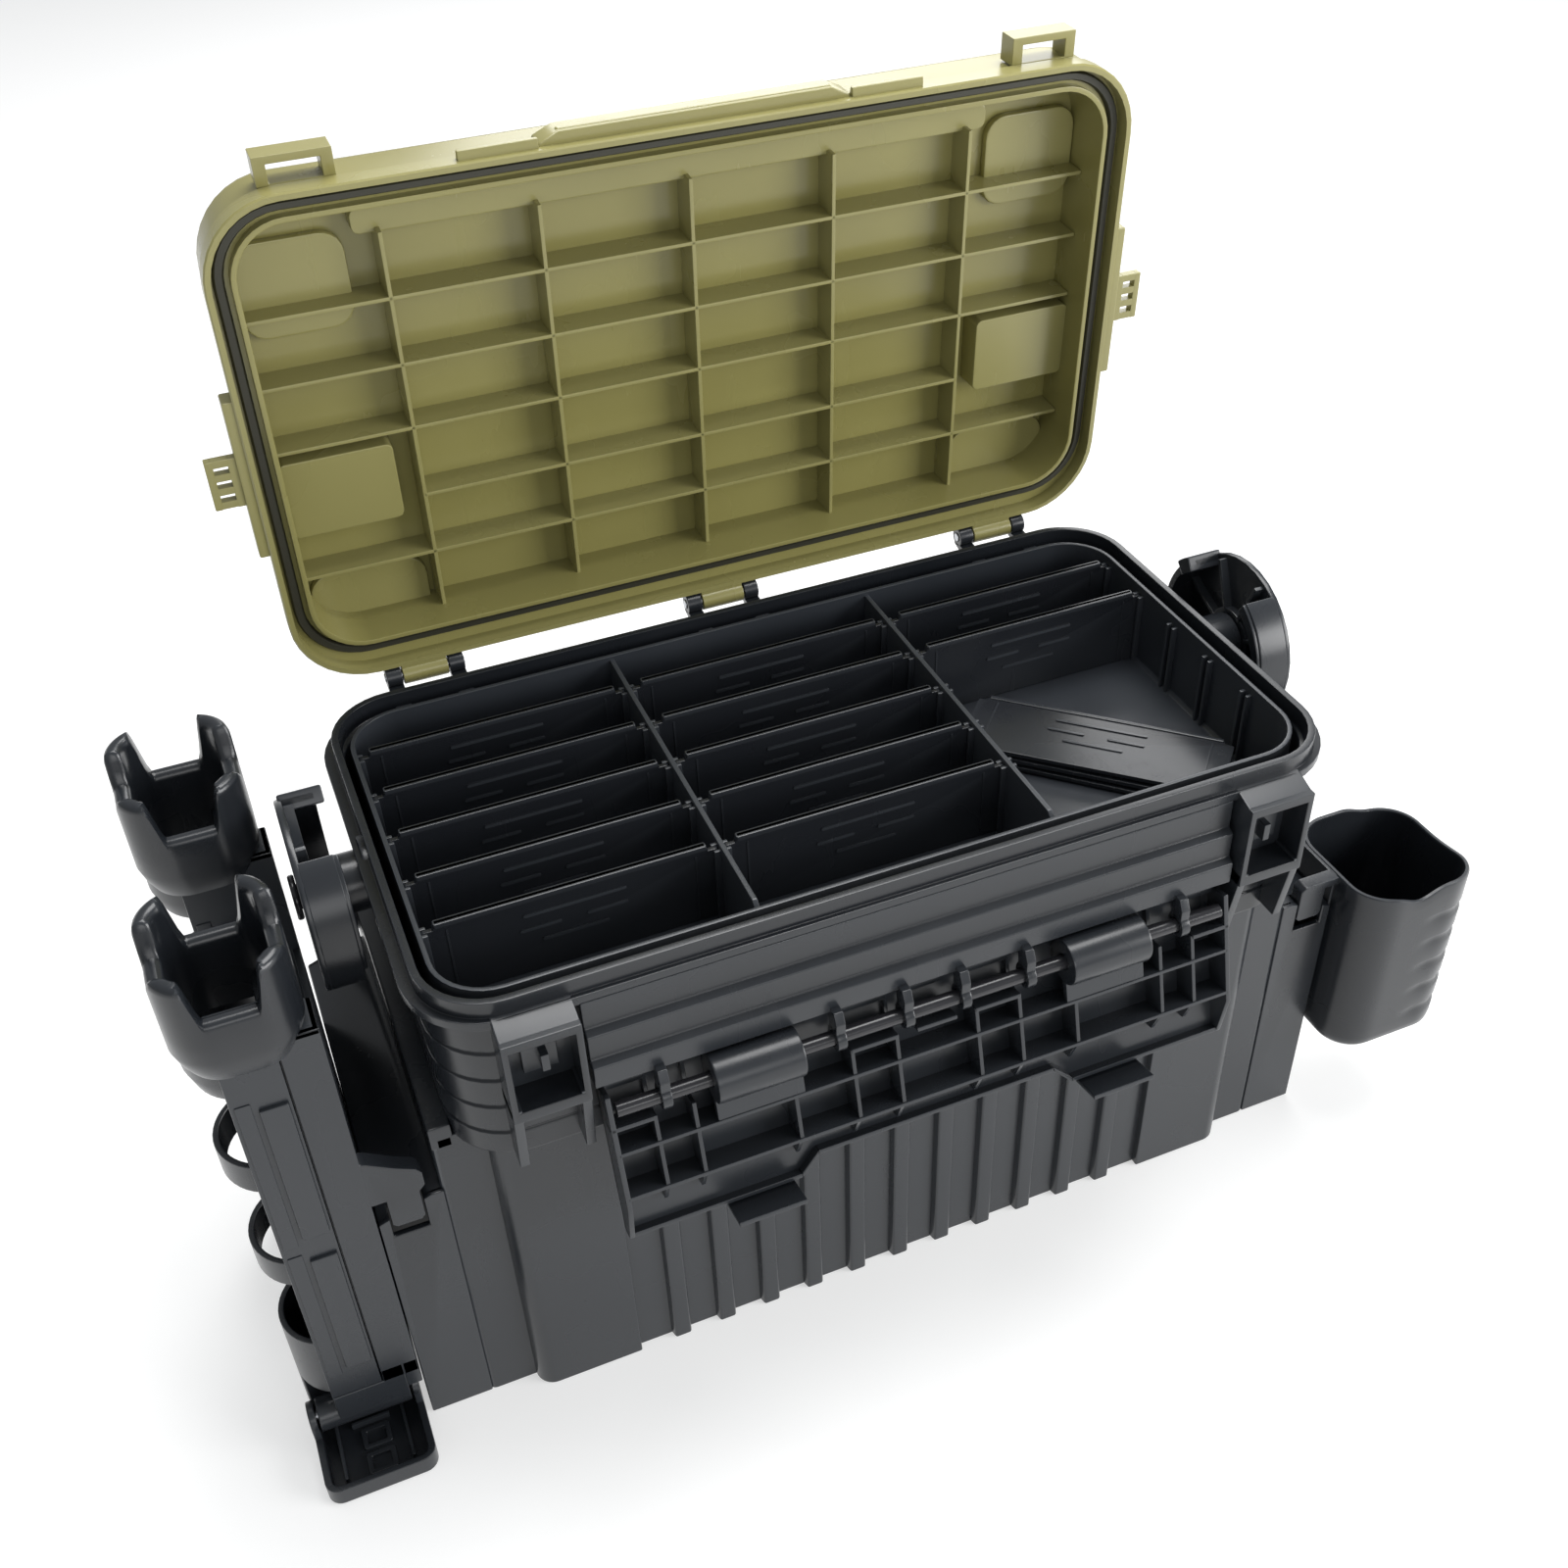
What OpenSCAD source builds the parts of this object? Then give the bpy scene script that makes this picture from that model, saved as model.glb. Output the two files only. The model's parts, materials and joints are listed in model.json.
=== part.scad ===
// Fishing tackle box: moulded tub, gasketed lid, drop-front latch flap, lift-out tray with
// dividers, swinging carry handle, side rod stand with a fold-out foot, and a hang-on cup.
// Millimetres. Origin at the middle of the tub's base; +X right, +Y to the lid hinge, +Z up.

/* [Tub] */
// Width of the upper body, side wall to side wall
upper_w = 368; // [360:2:372]
// Depth of the upper body, front wall to back wall
upper_d = 190; // [186:1:192]
// Height of the tub to the top of its sealing lip
tub_h = 247; // [244:1:252]
// Width across the two lower side cheeks
cheek_w = 435; // [430:1:440]
// Depth of the lower body
base_d = 154; // [150:1:156]
// Wall thickness of the tub
wall = 3; // [2.5:0.1:3.5]

/* [Lid] */
// Width of the lid
lid_w = 376; // [374:1:380]
// Height of the lid's top above the hinge line
lid_rise = 30; // [28:1:34]
// How far the lid stands open, from closed
lid_open = 86.9; // [0:0.1:88]

/* [Latch] */
// Width of the latch flap
flap_w = 262; // [250:1:264]
// Angle between the closed and the hanging flap
flap_open = 165; // [0:1:166]

/* [Tray] */
// Height of the tray's walls
tray_h = 40; // [38:1:42]
// Distance from one divider slot to the next
slot_pitch = 28; // [26:0.5:30]
// Height of a divider
divider_h = 37; // [32:1:37]

/* [Carry handle] */
// Distance from the handle's pivot to its grip
arm_len = 150; // [148:1:156]
// Outer radius of the handle's hubs
hub_r = 38; // [36:0.5:39]
// Angle of the folded arms below the horizontal
handle_fold = 45; // [40:1:46]

/* [Rod stand] */
// Outer radius of the rod rings and the butt cup
ring_r = 21.5; // [20:0.5:22]
// Distance between the two rod holders
holder_pitch = 100; // [90:1:104]

/* [Cup] */
// Width of the hang-on cup
cup_w = 62; // [56:1:66]
// Depth of the hang-on cup, front to back
cup_d = 63; // [58:1:66]
// Height of the hang-on cup
cup_h = 96; // [88:1:100]

/* [Hidden] */
$fn = 64;

black = "#26282b";
dark = "#1b1c1e";
olive = "#8a8450";
steel = "#8d9094";

mid_w = 384;            // lower body between the cheeks
mid_h = 172;            // top of the lower body's front corners
upper_z = 165;          // underside of the flared upper body
cheek_h = 137;          // top of a cheek at its inner edge
flange_z = 236;         // underside of the rim flange
lip_z = 240;            // foot of the sealing lip
corner_r = 28;          // corner radius of the upper body
front_y = -upper_d / 2;
base_y = -base_d / 2;
cavity_w = 336;         // lower cavity
step_z = 168;           // where the cavity widens
ledge_z = 203.7;        // top of the ribs that carry the tray
notch_x = 206;          // middle of the hook notch in a cheek's top

hinge_y = 111;
hinge_z = 245;
hinge_x = [-137, 0, 137];
knuckle_r = 4.5;
hinge_pin_r = 2;

pin_y = -109;           // latch pin
pin_z = 188;
pin_r = 3;
hook_x = [-109, -40, -12, 12, 40, 109];
run = 0.06;             // radial running clearance

pivot_y = 10;           // carry handle pivot
pivot_z = 225;
pivot_r = 5;

slot_y = [for (k = [0:4]) 66 - slot_pitch * k];
tray_w = upper_w - 12;
tray_d = upper_d - 12;
tray_z = 204;
floor_t = 2;
part_x = [-60, 62];     // middles of the tray's two partitions
part_t = 2.2;
guide_d = 2.4;          // how far a divider guide stands out
divider_t = 2;
columns = [[-tray_w / 2 + 2, part_x[0] - part_t / 2],
    [part_x[0] + part_t / 2, part_x[1] - part_t / 2],
    [part_x[1] + part_t / 2, tray_w / 2 - 2]];

rail_x = -233;          // outer face of the rod stand's columns
spine_x0 = -254;
spine_y = -77;          // front face of the front column and holder
spine_d = 15;
ring_x = -243.5;
holder_x = -233.6;       // face of a rod holder that slides on the column
collar_z = 240;          // foot of a rod holder's mouth
foot_y = -70;           // foot hinge
foot_z = 17;
foot_pin_r = 2;
barrel_r = 7.2;

cup_x = cheek_w / 2 + 1.5 + cup_w / 2;
cup_y = -101 + cup_d / 2;
cup_z = 50;

// ---------- shared shapes ----------

// a rectangle with round corners
module rounded(w, d, r) {
    square([w - 2 * r, d], center = true);
    square([w, d - 2 * r], center = true);
    for (x = [-1, 1], y = [-1, 1]) translate([x * (w / 2 - r), y * (d / 2 - r)]) circle(r);
}

// a plate with round corners, from z0 to z1
module slab(w, d, r, z0, z1) {
    translate([0, 0, z0]) linear_extrude(z1 - z0) rounded(w, d, r);
}

// a box from its low corner to its high corner
module block(a, b) {
    translate(a) cube([b[0] - a[0], b[1] - a[1], b[2] - a[2]]);
}

// a rod along X
module rod_x(x0, x1, y, z, r) {
    translate([x0, y, z]) rotate([0, 90, 0]) cylinder(r = r, h = x1 - x0);
}

// an outline in the Y-Z plane, drawn out along X
module profile_x(x0, x1, points) {
    translate([x0, 0, 0]) rotate([90, 0, 90]) linear_extrude(x1 - x0) polygon(points);
}

// an outline in the X-Z plane, drawn out along Y
module profile_y(y0, y1, points) {
    translate([0, y1, 0]) rotate([90, 0, 0]) linear_extrude(y1 - y0) polygon(points);
}

module both_sides() {
    children();
    mirror([1, 0, 0]) children();
}

// ---------- tub ----------

module lower_body() {
    block([-mid_w / 2, base_y, 0], [mid_w / 2, -base_y, mid_h]);
    both_sides() profile_y(base_y, -base_y, [[mid_w / 2 - 1, 0], [cheek_w / 2, 0],
        [cheek_w / 2, cheek_h - 8], [mid_w / 2, cheek_h], [mid_w / 2 - 1, cheek_h]]);
}

// smooth raised panels beside the ribbed middle of the front
module front_panels() {
    both_sides() {
        block([125, base_y - 8, 0], [163.5, base_y + 1, upper_z + 1]);
        translate([163.5, base_y, 0]) cylinder(r = 8, h = upper_z + 1);
    }
    block([-126, base_y - 4.5, 0], [126, base_y + 1, upper_z + 1]);
    for (i = [-5:5])
        block([i * 21.2 - 4.15, base_y - 8, 0], [i * 21.2 + 4.15, base_y, upper_z + 1]);
}

module upper_body() {
    difference() {
        slab(upper_w, upper_d, corner_r, upper_z, flange_z + 1);
        for (z = [176, 190, 204, 218]) difference() {
            slab(upper_w + 8, upper_d + 8, corner_r + 4, z, z + 1.6);
            slab(upper_w - 1.8, upper_d - 1.8, corner_r - 0.9, z - 1, z + 3);
        }
    }
    slab(upper_w + 10, upper_d + 10, corner_r + 4, flange_z, lip_z);
    slab(upper_w + 1, upper_d + 6, corner_r, lip_z - 1, tub_h);
}

// stepped band under the front rim, above the latch
module front_band() {
    profile_x(-133, 133, [[front_y + 1, pin_z + 11], [front_y - 11.5, pin_z + 11],
        [front_y - 11.5, pin_z + 21], [front_y - 8.5, pin_z + 23], [front_y - 8.5, pin_z + 34],
        [front_y - 5.5, pin_z + 36], [front_y - 5.5, flange_z + 1], [front_y + 1, flange_z + 1]]);
}

// hooks that carry the latch pin
module latch_hooks() {
    for (x = hook_x) {
        rod_x(x - 2, x + 2, pin_y, pin_z, 5.4);
        block([x - 2, pin_y - 3, pin_z], [x + 2, pin_y + 3, pin_z + 14]);
        block([x - 2, pin_y - 3, pin_z + 9], [x + 2, front_y + 1, pin_z + 14]);
    }
}

// open-fronted accessory socket at each front corner
module receiver() {
    difference() {
        union() {
            block([135, front_y - 15, 198], [164, front_y + 1, 236]);
            profile_x(135, 164, [[front_y - 15, 235], [front_y + 1, 235], [front_y + 1, 240],
                [front_y - 3, 240]]);
            profile_x(135, 139, [[front_y - 15, 199], [front_y + 1, 199], [front_y + 1, 168],
                [front_y - 9, 168]]);
            profile_x(160, 164, [[front_y - 15, 199], [front_y + 1, 199], [front_y + 1, 168],
                [front_y - 9, 168]]);
        }
        block([137.5, front_y - 16, 203], [161.5, front_y - 1.5, 233]);
        block([141, front_y - 16, 197], [158, front_y - 8, 200.5]);
    }
    block([143, front_y - 5, 212], [156, front_y, 224]);
}

module tub_hinge_knuckles() {
    for (x = hinge_x, s = [-1, 1]) translate([x + s * 13.65, 0, 0]) {
        rod_x(-3.35, 3.35, hinge_y, hinge_z, knuckle_r);
        block([-3.35, upper_d / 2, flange_z], [3.35, hinge_y + 2, hinge_z - 3.2]);
    }
}

module handle_boss() {
    rod_x(upper_w / 2 - 2, 205.5, pivot_y, pivot_z, 12);
}

// ribs on the inside that the tray rests on
module tray_ribs() {
    for (x = [-120, -40, 40, 120], s = [-1, 1]) translate([x, s * (upper_d / 2 - 6), 0])
        block([-1.5, -3.2, step_z - 1], [1.5, 3.2, ledge_z]);
    for (y = [-45, 45], s = [-1, 1]) translate([s * (upper_w / 2 - 6), y, 0])
        block([-3.2, -1.5, step_z - 1], [3.2, 1.5, ledge_z]);
}

// hollow under a cheek, open below, with a cross web
module cheek_pocket() {
    for (s = [-1, 1]) mirror([0, s < 0 ? 1 : 0, 0])
        profile_y(1.5, -base_y - wall, [[cavity_w / 2 + wall, -1], [cheek_w / 2 - wall, -1],
            [cheek_w / 2 - wall, cheek_h - 11], [mid_w / 2 - wall, cheek_h - wall],
            [mid_w / 2 - wall, upper_z - 3], [cavity_w / 2 + wall, upper_z - 3]]);
}

// slot in a cheek's top where a hook drops in
module hook_notch() {
    block([notch_x - 7, base_y - 1, cheek_h - 17], [notch_x + 7, base_y + 8, cheek_h + 1]);
}

module tub() color(black) {
    difference() {
        union() {
            lower_body();
            front_panels();
            upper_body();
            front_band();
            latch_hooks();
            both_sides() receiver();
            tub_hinge_knuckles();
            both_sides() handle_boss();
        }
        slab(cavity_w, base_d - 2 * wall - 2, 8, wall, step_z + 1);
        slab(upper_w - 2 * wall, upper_d - 2 * wall, corner_r - wall, step_z, tub_h + 1);
        slab(upper_w + 1 - 2 * wall, upper_d + 6 - 2 * wall, corner_r - wall, lip_z - 1, tub_h + 1);
        both_sides() {
            cheek_pocket();
            hook_notch();
            rod_x(upper_w / 2 + 3, 207, pivot_y, pivot_z, pivot_r + run);
        }
        rod_x(-130, 130, pin_y, pin_z, pin_r + run);
        for (x = hinge_x) rod_x(x - 20, x + 20, hinge_y, hinge_z, hinge_pin_r + run);
    }
    tray_ribs();
}

module latch_pin() color(dark) rod_x(-127.5, 127.5, pin_y, pin_z, pin_r);

module lid_hinge_pins() color(steel)
    for (x = hinge_x) rod_x(x - 17.5, x + 17.5, hinge_y, hinge_z, hinge_pin_r);

module handle_pivots() color(dark) both_sides() {
    rod_x(upper_w / 2 + 4, 213, pivot_y, pivot_z, pivot_r);
    rod_x(212.9, 215.2, pivot_y, pivot_z, 9);
}

// ---------- lid ----------

lid_front = -102.5;
lid_back = 106;
lid_mid = (lid_front + lid_back) / 2;
lid_d = lid_back - lid_front;
lid_skirt = 2.6;
lid_z0 = hinge_z - 2;
lid_z1 = hinge_z + lid_rise;
lid_plate = 2.4;
rib_z = hinge_z + 14.5;  // lower edge of the lid's inner ribs

// places a part drawn closed where it is with the lid open
module opened() {
    translate([0, hinge_y, hinge_z]) rotate([-lid_open, 0, 0])
        translate([0, -hinge_y, -hinge_z]) children();
}

module lid_slab(inset, r, z0, z1) {
    translate([0, lid_mid, 0]) slab(lid_w - 2 * inset, lid_d - 2 * inset, r, z0, z1);
}

module lid_ribs() {
    for (i = [-2:2])
        block([i * 60.8 - 0.9, hinge_y - 187, rib_z], [i * 60.8 + 0.9, hinge_y - 8, lid_z1 - 1]);
    for (u = [161, 133.5, 106, 47.5])
        block([-177, hinge_y - u - 0.9, rib_z], [177, hinge_y - u + 0.9, lid_z1 - 1]);
    block([-122, hinge_y - 75.9, rib_z], [122, hinge_y - 74.1, lid_z1 - 1]);
}

// pads and panels moulded in the lid's outer columns
module lid_pads() both_sides() {
    block([131, hinge_y - 101, rib_z + 2], [177, hinge_y - 67, lid_z1 - 1]);
    translate([151, hinge_y - 169, 0]) slab(50, 38, 10, lid_z1 - 6, lid_z1 - 1);
    translate([150, hinge_y - 24, 0]) slab(50, 34, 10, lid_z1 - 6, lid_z1 - 1);
}

// frame on the front edge above each receiver
module lid_loop() {
    difference() {
        block([134, lid_front - 10, lid_z0 + 9], [162, lid_front + 1, lid_z0 + 19]);
        block([138.5, lid_front - 7, lid_z0 + 8], [157.5, lid_front - 0.2, lid_z0 + 20]);
    }
}

// bar on each end with the slotted tab that the handle's hub closes over
module lid_side_bar() {
    block([lid_w / 2 - 1, hinge_y - 140, lid_z0 + 1], [lid_w / 2 + 4, hinge_y - 72, lid_z0 + 10]);
    difference() {
        block([lid_w / 2 + 3, hinge_y - 117, lid_z0 + 2], [203.5, hinge_y - 96, lid_z0 + 6]);
        for (k = [0:2]) block([lid_w / 2 + 7, hinge_y - 113.5 + 5.8 * k, lid_z0 + 1],
            [200.5, hinge_y - 110.5 + 5.8 * k, lid_z0 + 7]);
    }
}

module lid_shell() {
    difference() {
        lid_slab(0, 32, lid_z0, lid_z1);
        lid_slab(lid_skirt, 32 - lid_skirt, lid_z0 - 1, lid_z1 - lid_plate);
    }
    // shelf and inner wall of the gasket channel
    difference() {
        lid_slab(0.5, 31, lid_z0 + 7.2, lid_z0 + 9.4);
        slab(lid_w - 23.2, upper_d - 8, 21, lid_z0, lid_z1);
    }
    difference() {
        slab(lid_w - 19.2, upper_d - 4, 23, lid_z0 + 3, lid_z1 - 1);
        slab(lid_w - 23.6, upper_d - 8.4, 21, lid_z0, lid_z1);
    }
}

module lid_closed() {
    difference() {
        union() {
            lid_shell();
            lid_ribs();
            lid_pads();
            both_sides() lid_loop();
            both_sides() lid_side_bar();
            // finger lip in the middle and catch ledges beside it
            block([-58, lid_front - 5, lid_z0 + 6], [58, lid_front + 1, lid_z0 + 12]);
            both_sides() block([62, lid_front - 3.5, lid_z0 + 2.5], [92, lid_front + 1, lid_z0 + 6.5]);
            for (x = hinge_x) {
                rod_x(x - 9.8, x + 9.8, hinge_y, hinge_z, knuckle_r);
                block([x - 9.8, lid_back - 1, hinge_z], [x + 9.8, hinge_y, hinge_z + knuckle_r]);
            }
        }
        for (x = hinge_x) rod_x(x - 20, x + 20, hinge_y, hinge_z, hinge_pin_r + run);
    }
}

module lid() color(olive) opened() lid_closed();

module lid_gasket() color(dark) opened() difference() {
    slab(upper_w + 2, upper_d + 7, corner_r, tub_h + 0.5, tub_h + 3.2);
    slab(upper_w - 10, upper_d - 3, corner_r - 5, tub_h, tub_h + 4);
}

// ---------- latch flap ----------

flap_back = -12;       // smooth outer face, from the pin
flap_crest = 2;          // inner edge of its walls and ribs, from the pin
flap_low = -7;
flap_len = 62;

// drawn closed, with the pin at the origin
module flap_closed() {
    h = flap_w / 2;
    difference() {
        union() {
            difference() {
                block([-h, flap_back, flap_low], [h, flap_back + 2.2, flap_len]);
                block([-54, flap_back - 1, flap_len - 8], [54, flap_back + 3, flap_len + 1]);
            }
            both_sides() block([h - 2.2, flap_back, flap_low], [h, flap_crest, flap_len - 18]);
            both_sides() profile_x(h - 2.2, h, [[flap_back, flap_len - 19],
                [flap_crest, flap_len - 19], [flap_back + 5, flap_len], [flap_back, flap_len]]);
            for (x = [17, 35.5, 60, 99, 114], s = [-1, 1])
                block([s * x - 0.8, flap_back + 1, flap_low], [s * x + 0.8, flap_crest - 0.5, 39]);
            for (z = [18, 38])
                block([-h + 1, flap_back + 1, z], [h - 1, flap_crest, z + 1.6]);
            for (r = [[-h, -113], [-36, -16.5], [-8.5, 8.5], [16.5, 36], [113, h]])
                block([r[0], flap_back + 1, flap_low], [r[1], flap_crest, flap_low + 2.2]);
            // edge lips and the two hooking tabs
            both_sides() {
                block([54, flap_back, flap_len - 2.2], [h, flap_back + 6, flap_len]);
                block([63, flap_back, flap_len - 2], [91, flap_back + 2.2, flap_len + 2.6]);
                block([63, flap_back, flap_len + 0.6], [91, flap_crest + 4, flap_len + 2.8]);
            }
            block([-54, flap_back, flap_len - 10.2], [54, flap_back + 6, flap_len - 8]);
        }
        rod_x(-h + 3, h - 3, 0, 0, 6.4);
    }
    // barrels on the pin, each with a flat plate down to the first rib
    both_sides() difference() {
        union() {
            rod_x(56, 91, 0, 0, 10);
            block([56, flap_crest - 2.5, 6], [91, flap_crest - 0.5, 19]);
        }
        rod_x(55, 92, 0, 0, pin_r + run);
    }
}

module latch_flap() color(black) translate([0, pin_y, pin_z]) rotate([flap_open, 0, 0])
    flap_closed();

// ---------- tray and dividers ----------

module tray() color(dark) {
    difference() {
        slab(tray_w, tray_d, corner_r - 5, tray_z, tray_z + tray_h);
        slab(tray_w - 4, tray_d - 4, corner_r - 7, tray_z + floor_t, tray_z + tray_h + 1);
    }
    for (x = part_x) profile_x(x - part_t / 2, x + part_t / 2, [[-tray_d / 2 + 1, tray_z + 1],
        [tray_d / 2 - 1, tray_z + 1], [tray_d / 2 - 1, tray_z + tray_h - 2],
        [-tray_d / 2 + 8, tray_z + tray_h - 2], [-tray_d / 2 + 1, tray_z + tray_h - 8]]);
    for (c = columns, y = slot_y, s = [-1, 1]) {
        y0 = y + s * (divider_t / 2 + 1.1) - 0.8;
        block([c[0] - 1, y0, tray_z + 1], [c[0] + guide_d, y0 + 1.6, tray_z + tray_h - 4]);
        block([c[1] - guide_d, y0, tray_z + 1], [c[1] + 1, y0 + 1.6, tray_z + tray_h - 4]);
    }
}

// a standing divider, centred on its width
module divider_plate(w) {
    z0 = tray_z + floor_t + 0.1;
    block([-w / 2, -divider_t / 2, z0], [w / 2, divider_t / 2, z0 + divider_h - 3]);
    block([-w / 2 + 4, -divider_t / 2, z0], [w / 2 - 4, divider_t / 2, z0 + divider_h]);
    block([-w / 2 + 4, -divider_t / 2 - 0.6, z0 + divider_h - 2.2],
        [w / 2 - 4, divider_t / 2 + 0.6, z0 + divider_h]);
    for (d = [[-20, 20, 28.4], [-22, -6, 21], [4, 20, 21], [-14, 12, 15]])
        block([d[0], -divider_t / 2 - 0.5, z0 + d[2] - 0.6], [d[1], 0, z0 + d[2] + 0.6]);
}

function column_w(c) = columns[c][1] - columns[c][0] - 0.8;
function column_x(c) = (columns[c][0] + columns[c][1]) / 2;

module divider(c, k) color(dark)
    translate([column_x(c), slot_y[k], 0]) divider_plate(column_w(c));

// a spare divider lying flat in the right compartment, its marks upwards; k counts up the stack
module loose_divider(k) color(dark)
    translate([119.8, -24 + 0.8 * k, tray_z + floor_t + 1.8 + 3.3 * k])
        rotate([0, 0, -44 + 0.5 * k]) rotate([-90, 0, 0])
            translate([0, 0, -tray_z - floor_t - divider_h / 2]) divider_plate(column_w(2));

// ---------- carry handle ----------

// a wedge that spans the angles a0 to a1 about the pivot, from the back upwards
module sector(x0, x1, a0, a1, r) {
    points = concat([[0, 0]], [for (i = [0:4]) let (a = a0 + (a1 - a0) * i / 4)
        [r * cos(a), r * sin(a)]]);
    translate([x0, 0, 0]) rotate([90, 0, 90]) linear_extrude(x1 - x0) polygon(points);
}

module ring_x(x0, x1, r_out, r_in) {
    difference() {
        rod_x(x0, x1, 0, 0, r_out);
        rod_x(x0 - 1, x1 + 1, 0, 0, r_in);
    }
}

// right-hand hub, with the pivot at the origin; its rim opens for the lid's tab
module hub() {
    difference() {
        union() {
            rod_x(209.5, 212.5, 0, 0, hub_r);
            difference() {
                ring_x(197, 210, hub_r, hub_r - 3.6);
                sector(196, 209.5, 58, 122, 60);
            }
            intersection() {
                ring_x(195.5, 210, hub_r - 1, hub_r - 6);
                sector(195, 211, 122, 204, 60);
            }
            intersection() {
                ring_x(194, 210, hub_r + 1.6, hub_r - 5.5);
                sector(193, 211, 44, 58, 60);
            }
            rod_x(206, 210, 0, 0, 14);
            for (a = [0:45:315]) rotate([a, 0, 0])
                block([206.5, 10, -0.9], [210, hub_r - 2, 0.9]);
        }
        rod_x(205, 213, 0, 0, pivot_r + run);
    }
}

module handle_arm() {
    rotate([-handle_fold, 0, 0]) {
        block([199, hub_r - 5, -12], [210, arm_len - 8, 12]);
        rod_x(199, 210, arm_len - 8, 0, 12);
        block([199, hub_r - 5, -15], [203, hub_r + 25, 15]);
    }
}

module carry_handle() color(black) translate([0, pivot_y, pivot_z]) {
    both_sides() {
        hub();
        handle_arm();
    }
    rotate([-handle_fold, 0, 0]) {
        rod_x(-200, 200, arm_len, 0, 9);
        rod_x(-70, 70, arm_len, 0, 11);
    }
}

// ---------- rod stand ----------

// D-shaped outline of a ring or cup: a circle cut flat beside the column
module d_shape(r, flat_x) {
    intersection() {
        circle(r);
        translate([-60, -60]) square([60 + flat_x, 120]);
    }
}

module d_ring(z0, z1, r, t) {
    translate([ring_x, spine_y + r + 0.5, z0]) linear_extrude(z1 - z0) difference() {
        d_shape(r, holder_x - ring_x);
        d_shape(r - t, holder_x - ring_x - t);
    }
}

// square-cornered mouth with four prongs, and the skirt that joins it to the spine
module collar() {
    w = 46;
    translate([ring_x, spine_y + 17, 0]) difference() {
        slab(w, w, 16, collar_z, collar_z + 44);
        slab(w - 13, w - 13, 9.5, collar_z - 1, collar_z + 45);
        block([-12, -w, collar_z + 22], [12, 0, collar_z + 45]);
        block([-12, 0, collar_z + 24], [12, w, collar_z + 45]);
        block([-w, -9, collar_z + 31], [w, 9, collar_z + 45]);
    }
    d_ring(collar_z - 27, collar_z + 1, ring_r + 1, 2.6);
}

// cup for a rod's butt; its lower half is cut back behind the column's foot
module butt_cup() {
    d_ring(34, 69, ring_r, 2.4);
    difference() {
        translate([ring_x, spine_y + ring_r + 0.5, 12]) linear_extrude(23)
            d_shape(ring_r, holder_x - ring_x);
        translate([ring_x, spine_y + ring_r + 0.5, 15]) linear_extrude(23)
            d_shape(ring_r - 2.4, holder_x - 2.4 - ring_x);
        block([-280, spine_y - 1, 11], [holder_x + 1, spine_y + 17.5, 33.9]);
    }
    intersection() {
        block([-280, spine_y + 17.5, 12], [holder_x, spine_y + 19.9, 36]);
        translate([ring_x, spine_y + ring_r + 0.5, 12]) linear_extrude(30)
            d_shape(ring_r, holder_x - ring_x);
    }
}

// drawn as the front holder
module rod_holder() color(black) difference() {
    union() {
        block([spine_x0, spine_y, 34], [holder_x, spine_y + spine_d, collar_z + 6]);
        for (z = [[52, 124], [137, 210]])
            block([spine_x0 + 9, spine_y - 1.6, z[0]], [holder_x - 1, spine_y + 1, z[1]]);
        for (z = [122, 179]) d_ring(z - 14, z, ring_r, 2.4);
        butt_cup();
        collar();
    }
    // T-slot that slides on the column's rail
    block([holder_x - 2.4, spine_y + 4.6, 33], [holder_x + 1, spine_y + 9.4, collar_z - 1]);
    block([holder_x - 5.8, spine_y + 2.6, 33], [holder_x - 2, spine_y + 11.4, collar_z - 1]);
}

module rod_holder_front() rod_holder();
module rod_holder_rear() translate([0, holder_pitch, 0]) rod_holder();

// a hollow column with the rail that a rod holder slides on
module column() {
    difference() {
        block([rail_x, spine_y, 12], [-218, spine_y + 17, 239]);
        block([rail_x + 2.5, spine_y + 2.5, 40], [-220.5, spine_y + 18, 236.5]);
    }
    block([rail_x - 3, spine_y + 5, 33], [rail_x + 1, spine_y + 9, 238]);
    block([rail_x - 6, spine_y + 3, 33], [rail_x - 3, spine_y + 11, 238]);
    block([spine_x0, spine_y, foot_z], [-218, spine_y + 17, 33.6]);
}

module side_bracket() color(black) {
    difference() {
        union() {
            difference() {
                union() {
                    column();
                    translate([0, holder_pitch, 0]) column();
                }
                // the front column's foot is cut away round the hinge barrel
                block([spine_x0 - 1, spine_y - 1, 11], [-217, foot_y + 12, foot_z]);
            }
            block([-221, spine_y + 10, 24], [-217.9, spine_y + holder_pitch + 5, 188]);
            rod_x(-262, -224, foot_y, foot_z, barrel_r);
            // hook that drops into the notch in the cheek's top
            block([-218.5, spine_y, cheek_h + 4], [-197, spine_y + 7, cheek_h + 26]);
            block([-notch_x - 6.5, spine_y, cheek_h - 12], [-notch_x + 6.5, spine_y + 7, cheek_h + 5]);
        }
        rod_x(-263, -223, foot_y, foot_z, foot_pin_r + run);
        // room for the foot's inner lug as it swings up
        rod_x(-224, -217, foot_y, foot_z, 7.4);
        block([-224, spine_y - 1, foot_z - 1], [-217, foot_y, foot_z + 7.4]);
    }
}

module foot_pin() color(steel) rod_x(-265.8, -220.2, foot_y, foot_z, foot_pin_r);

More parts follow.
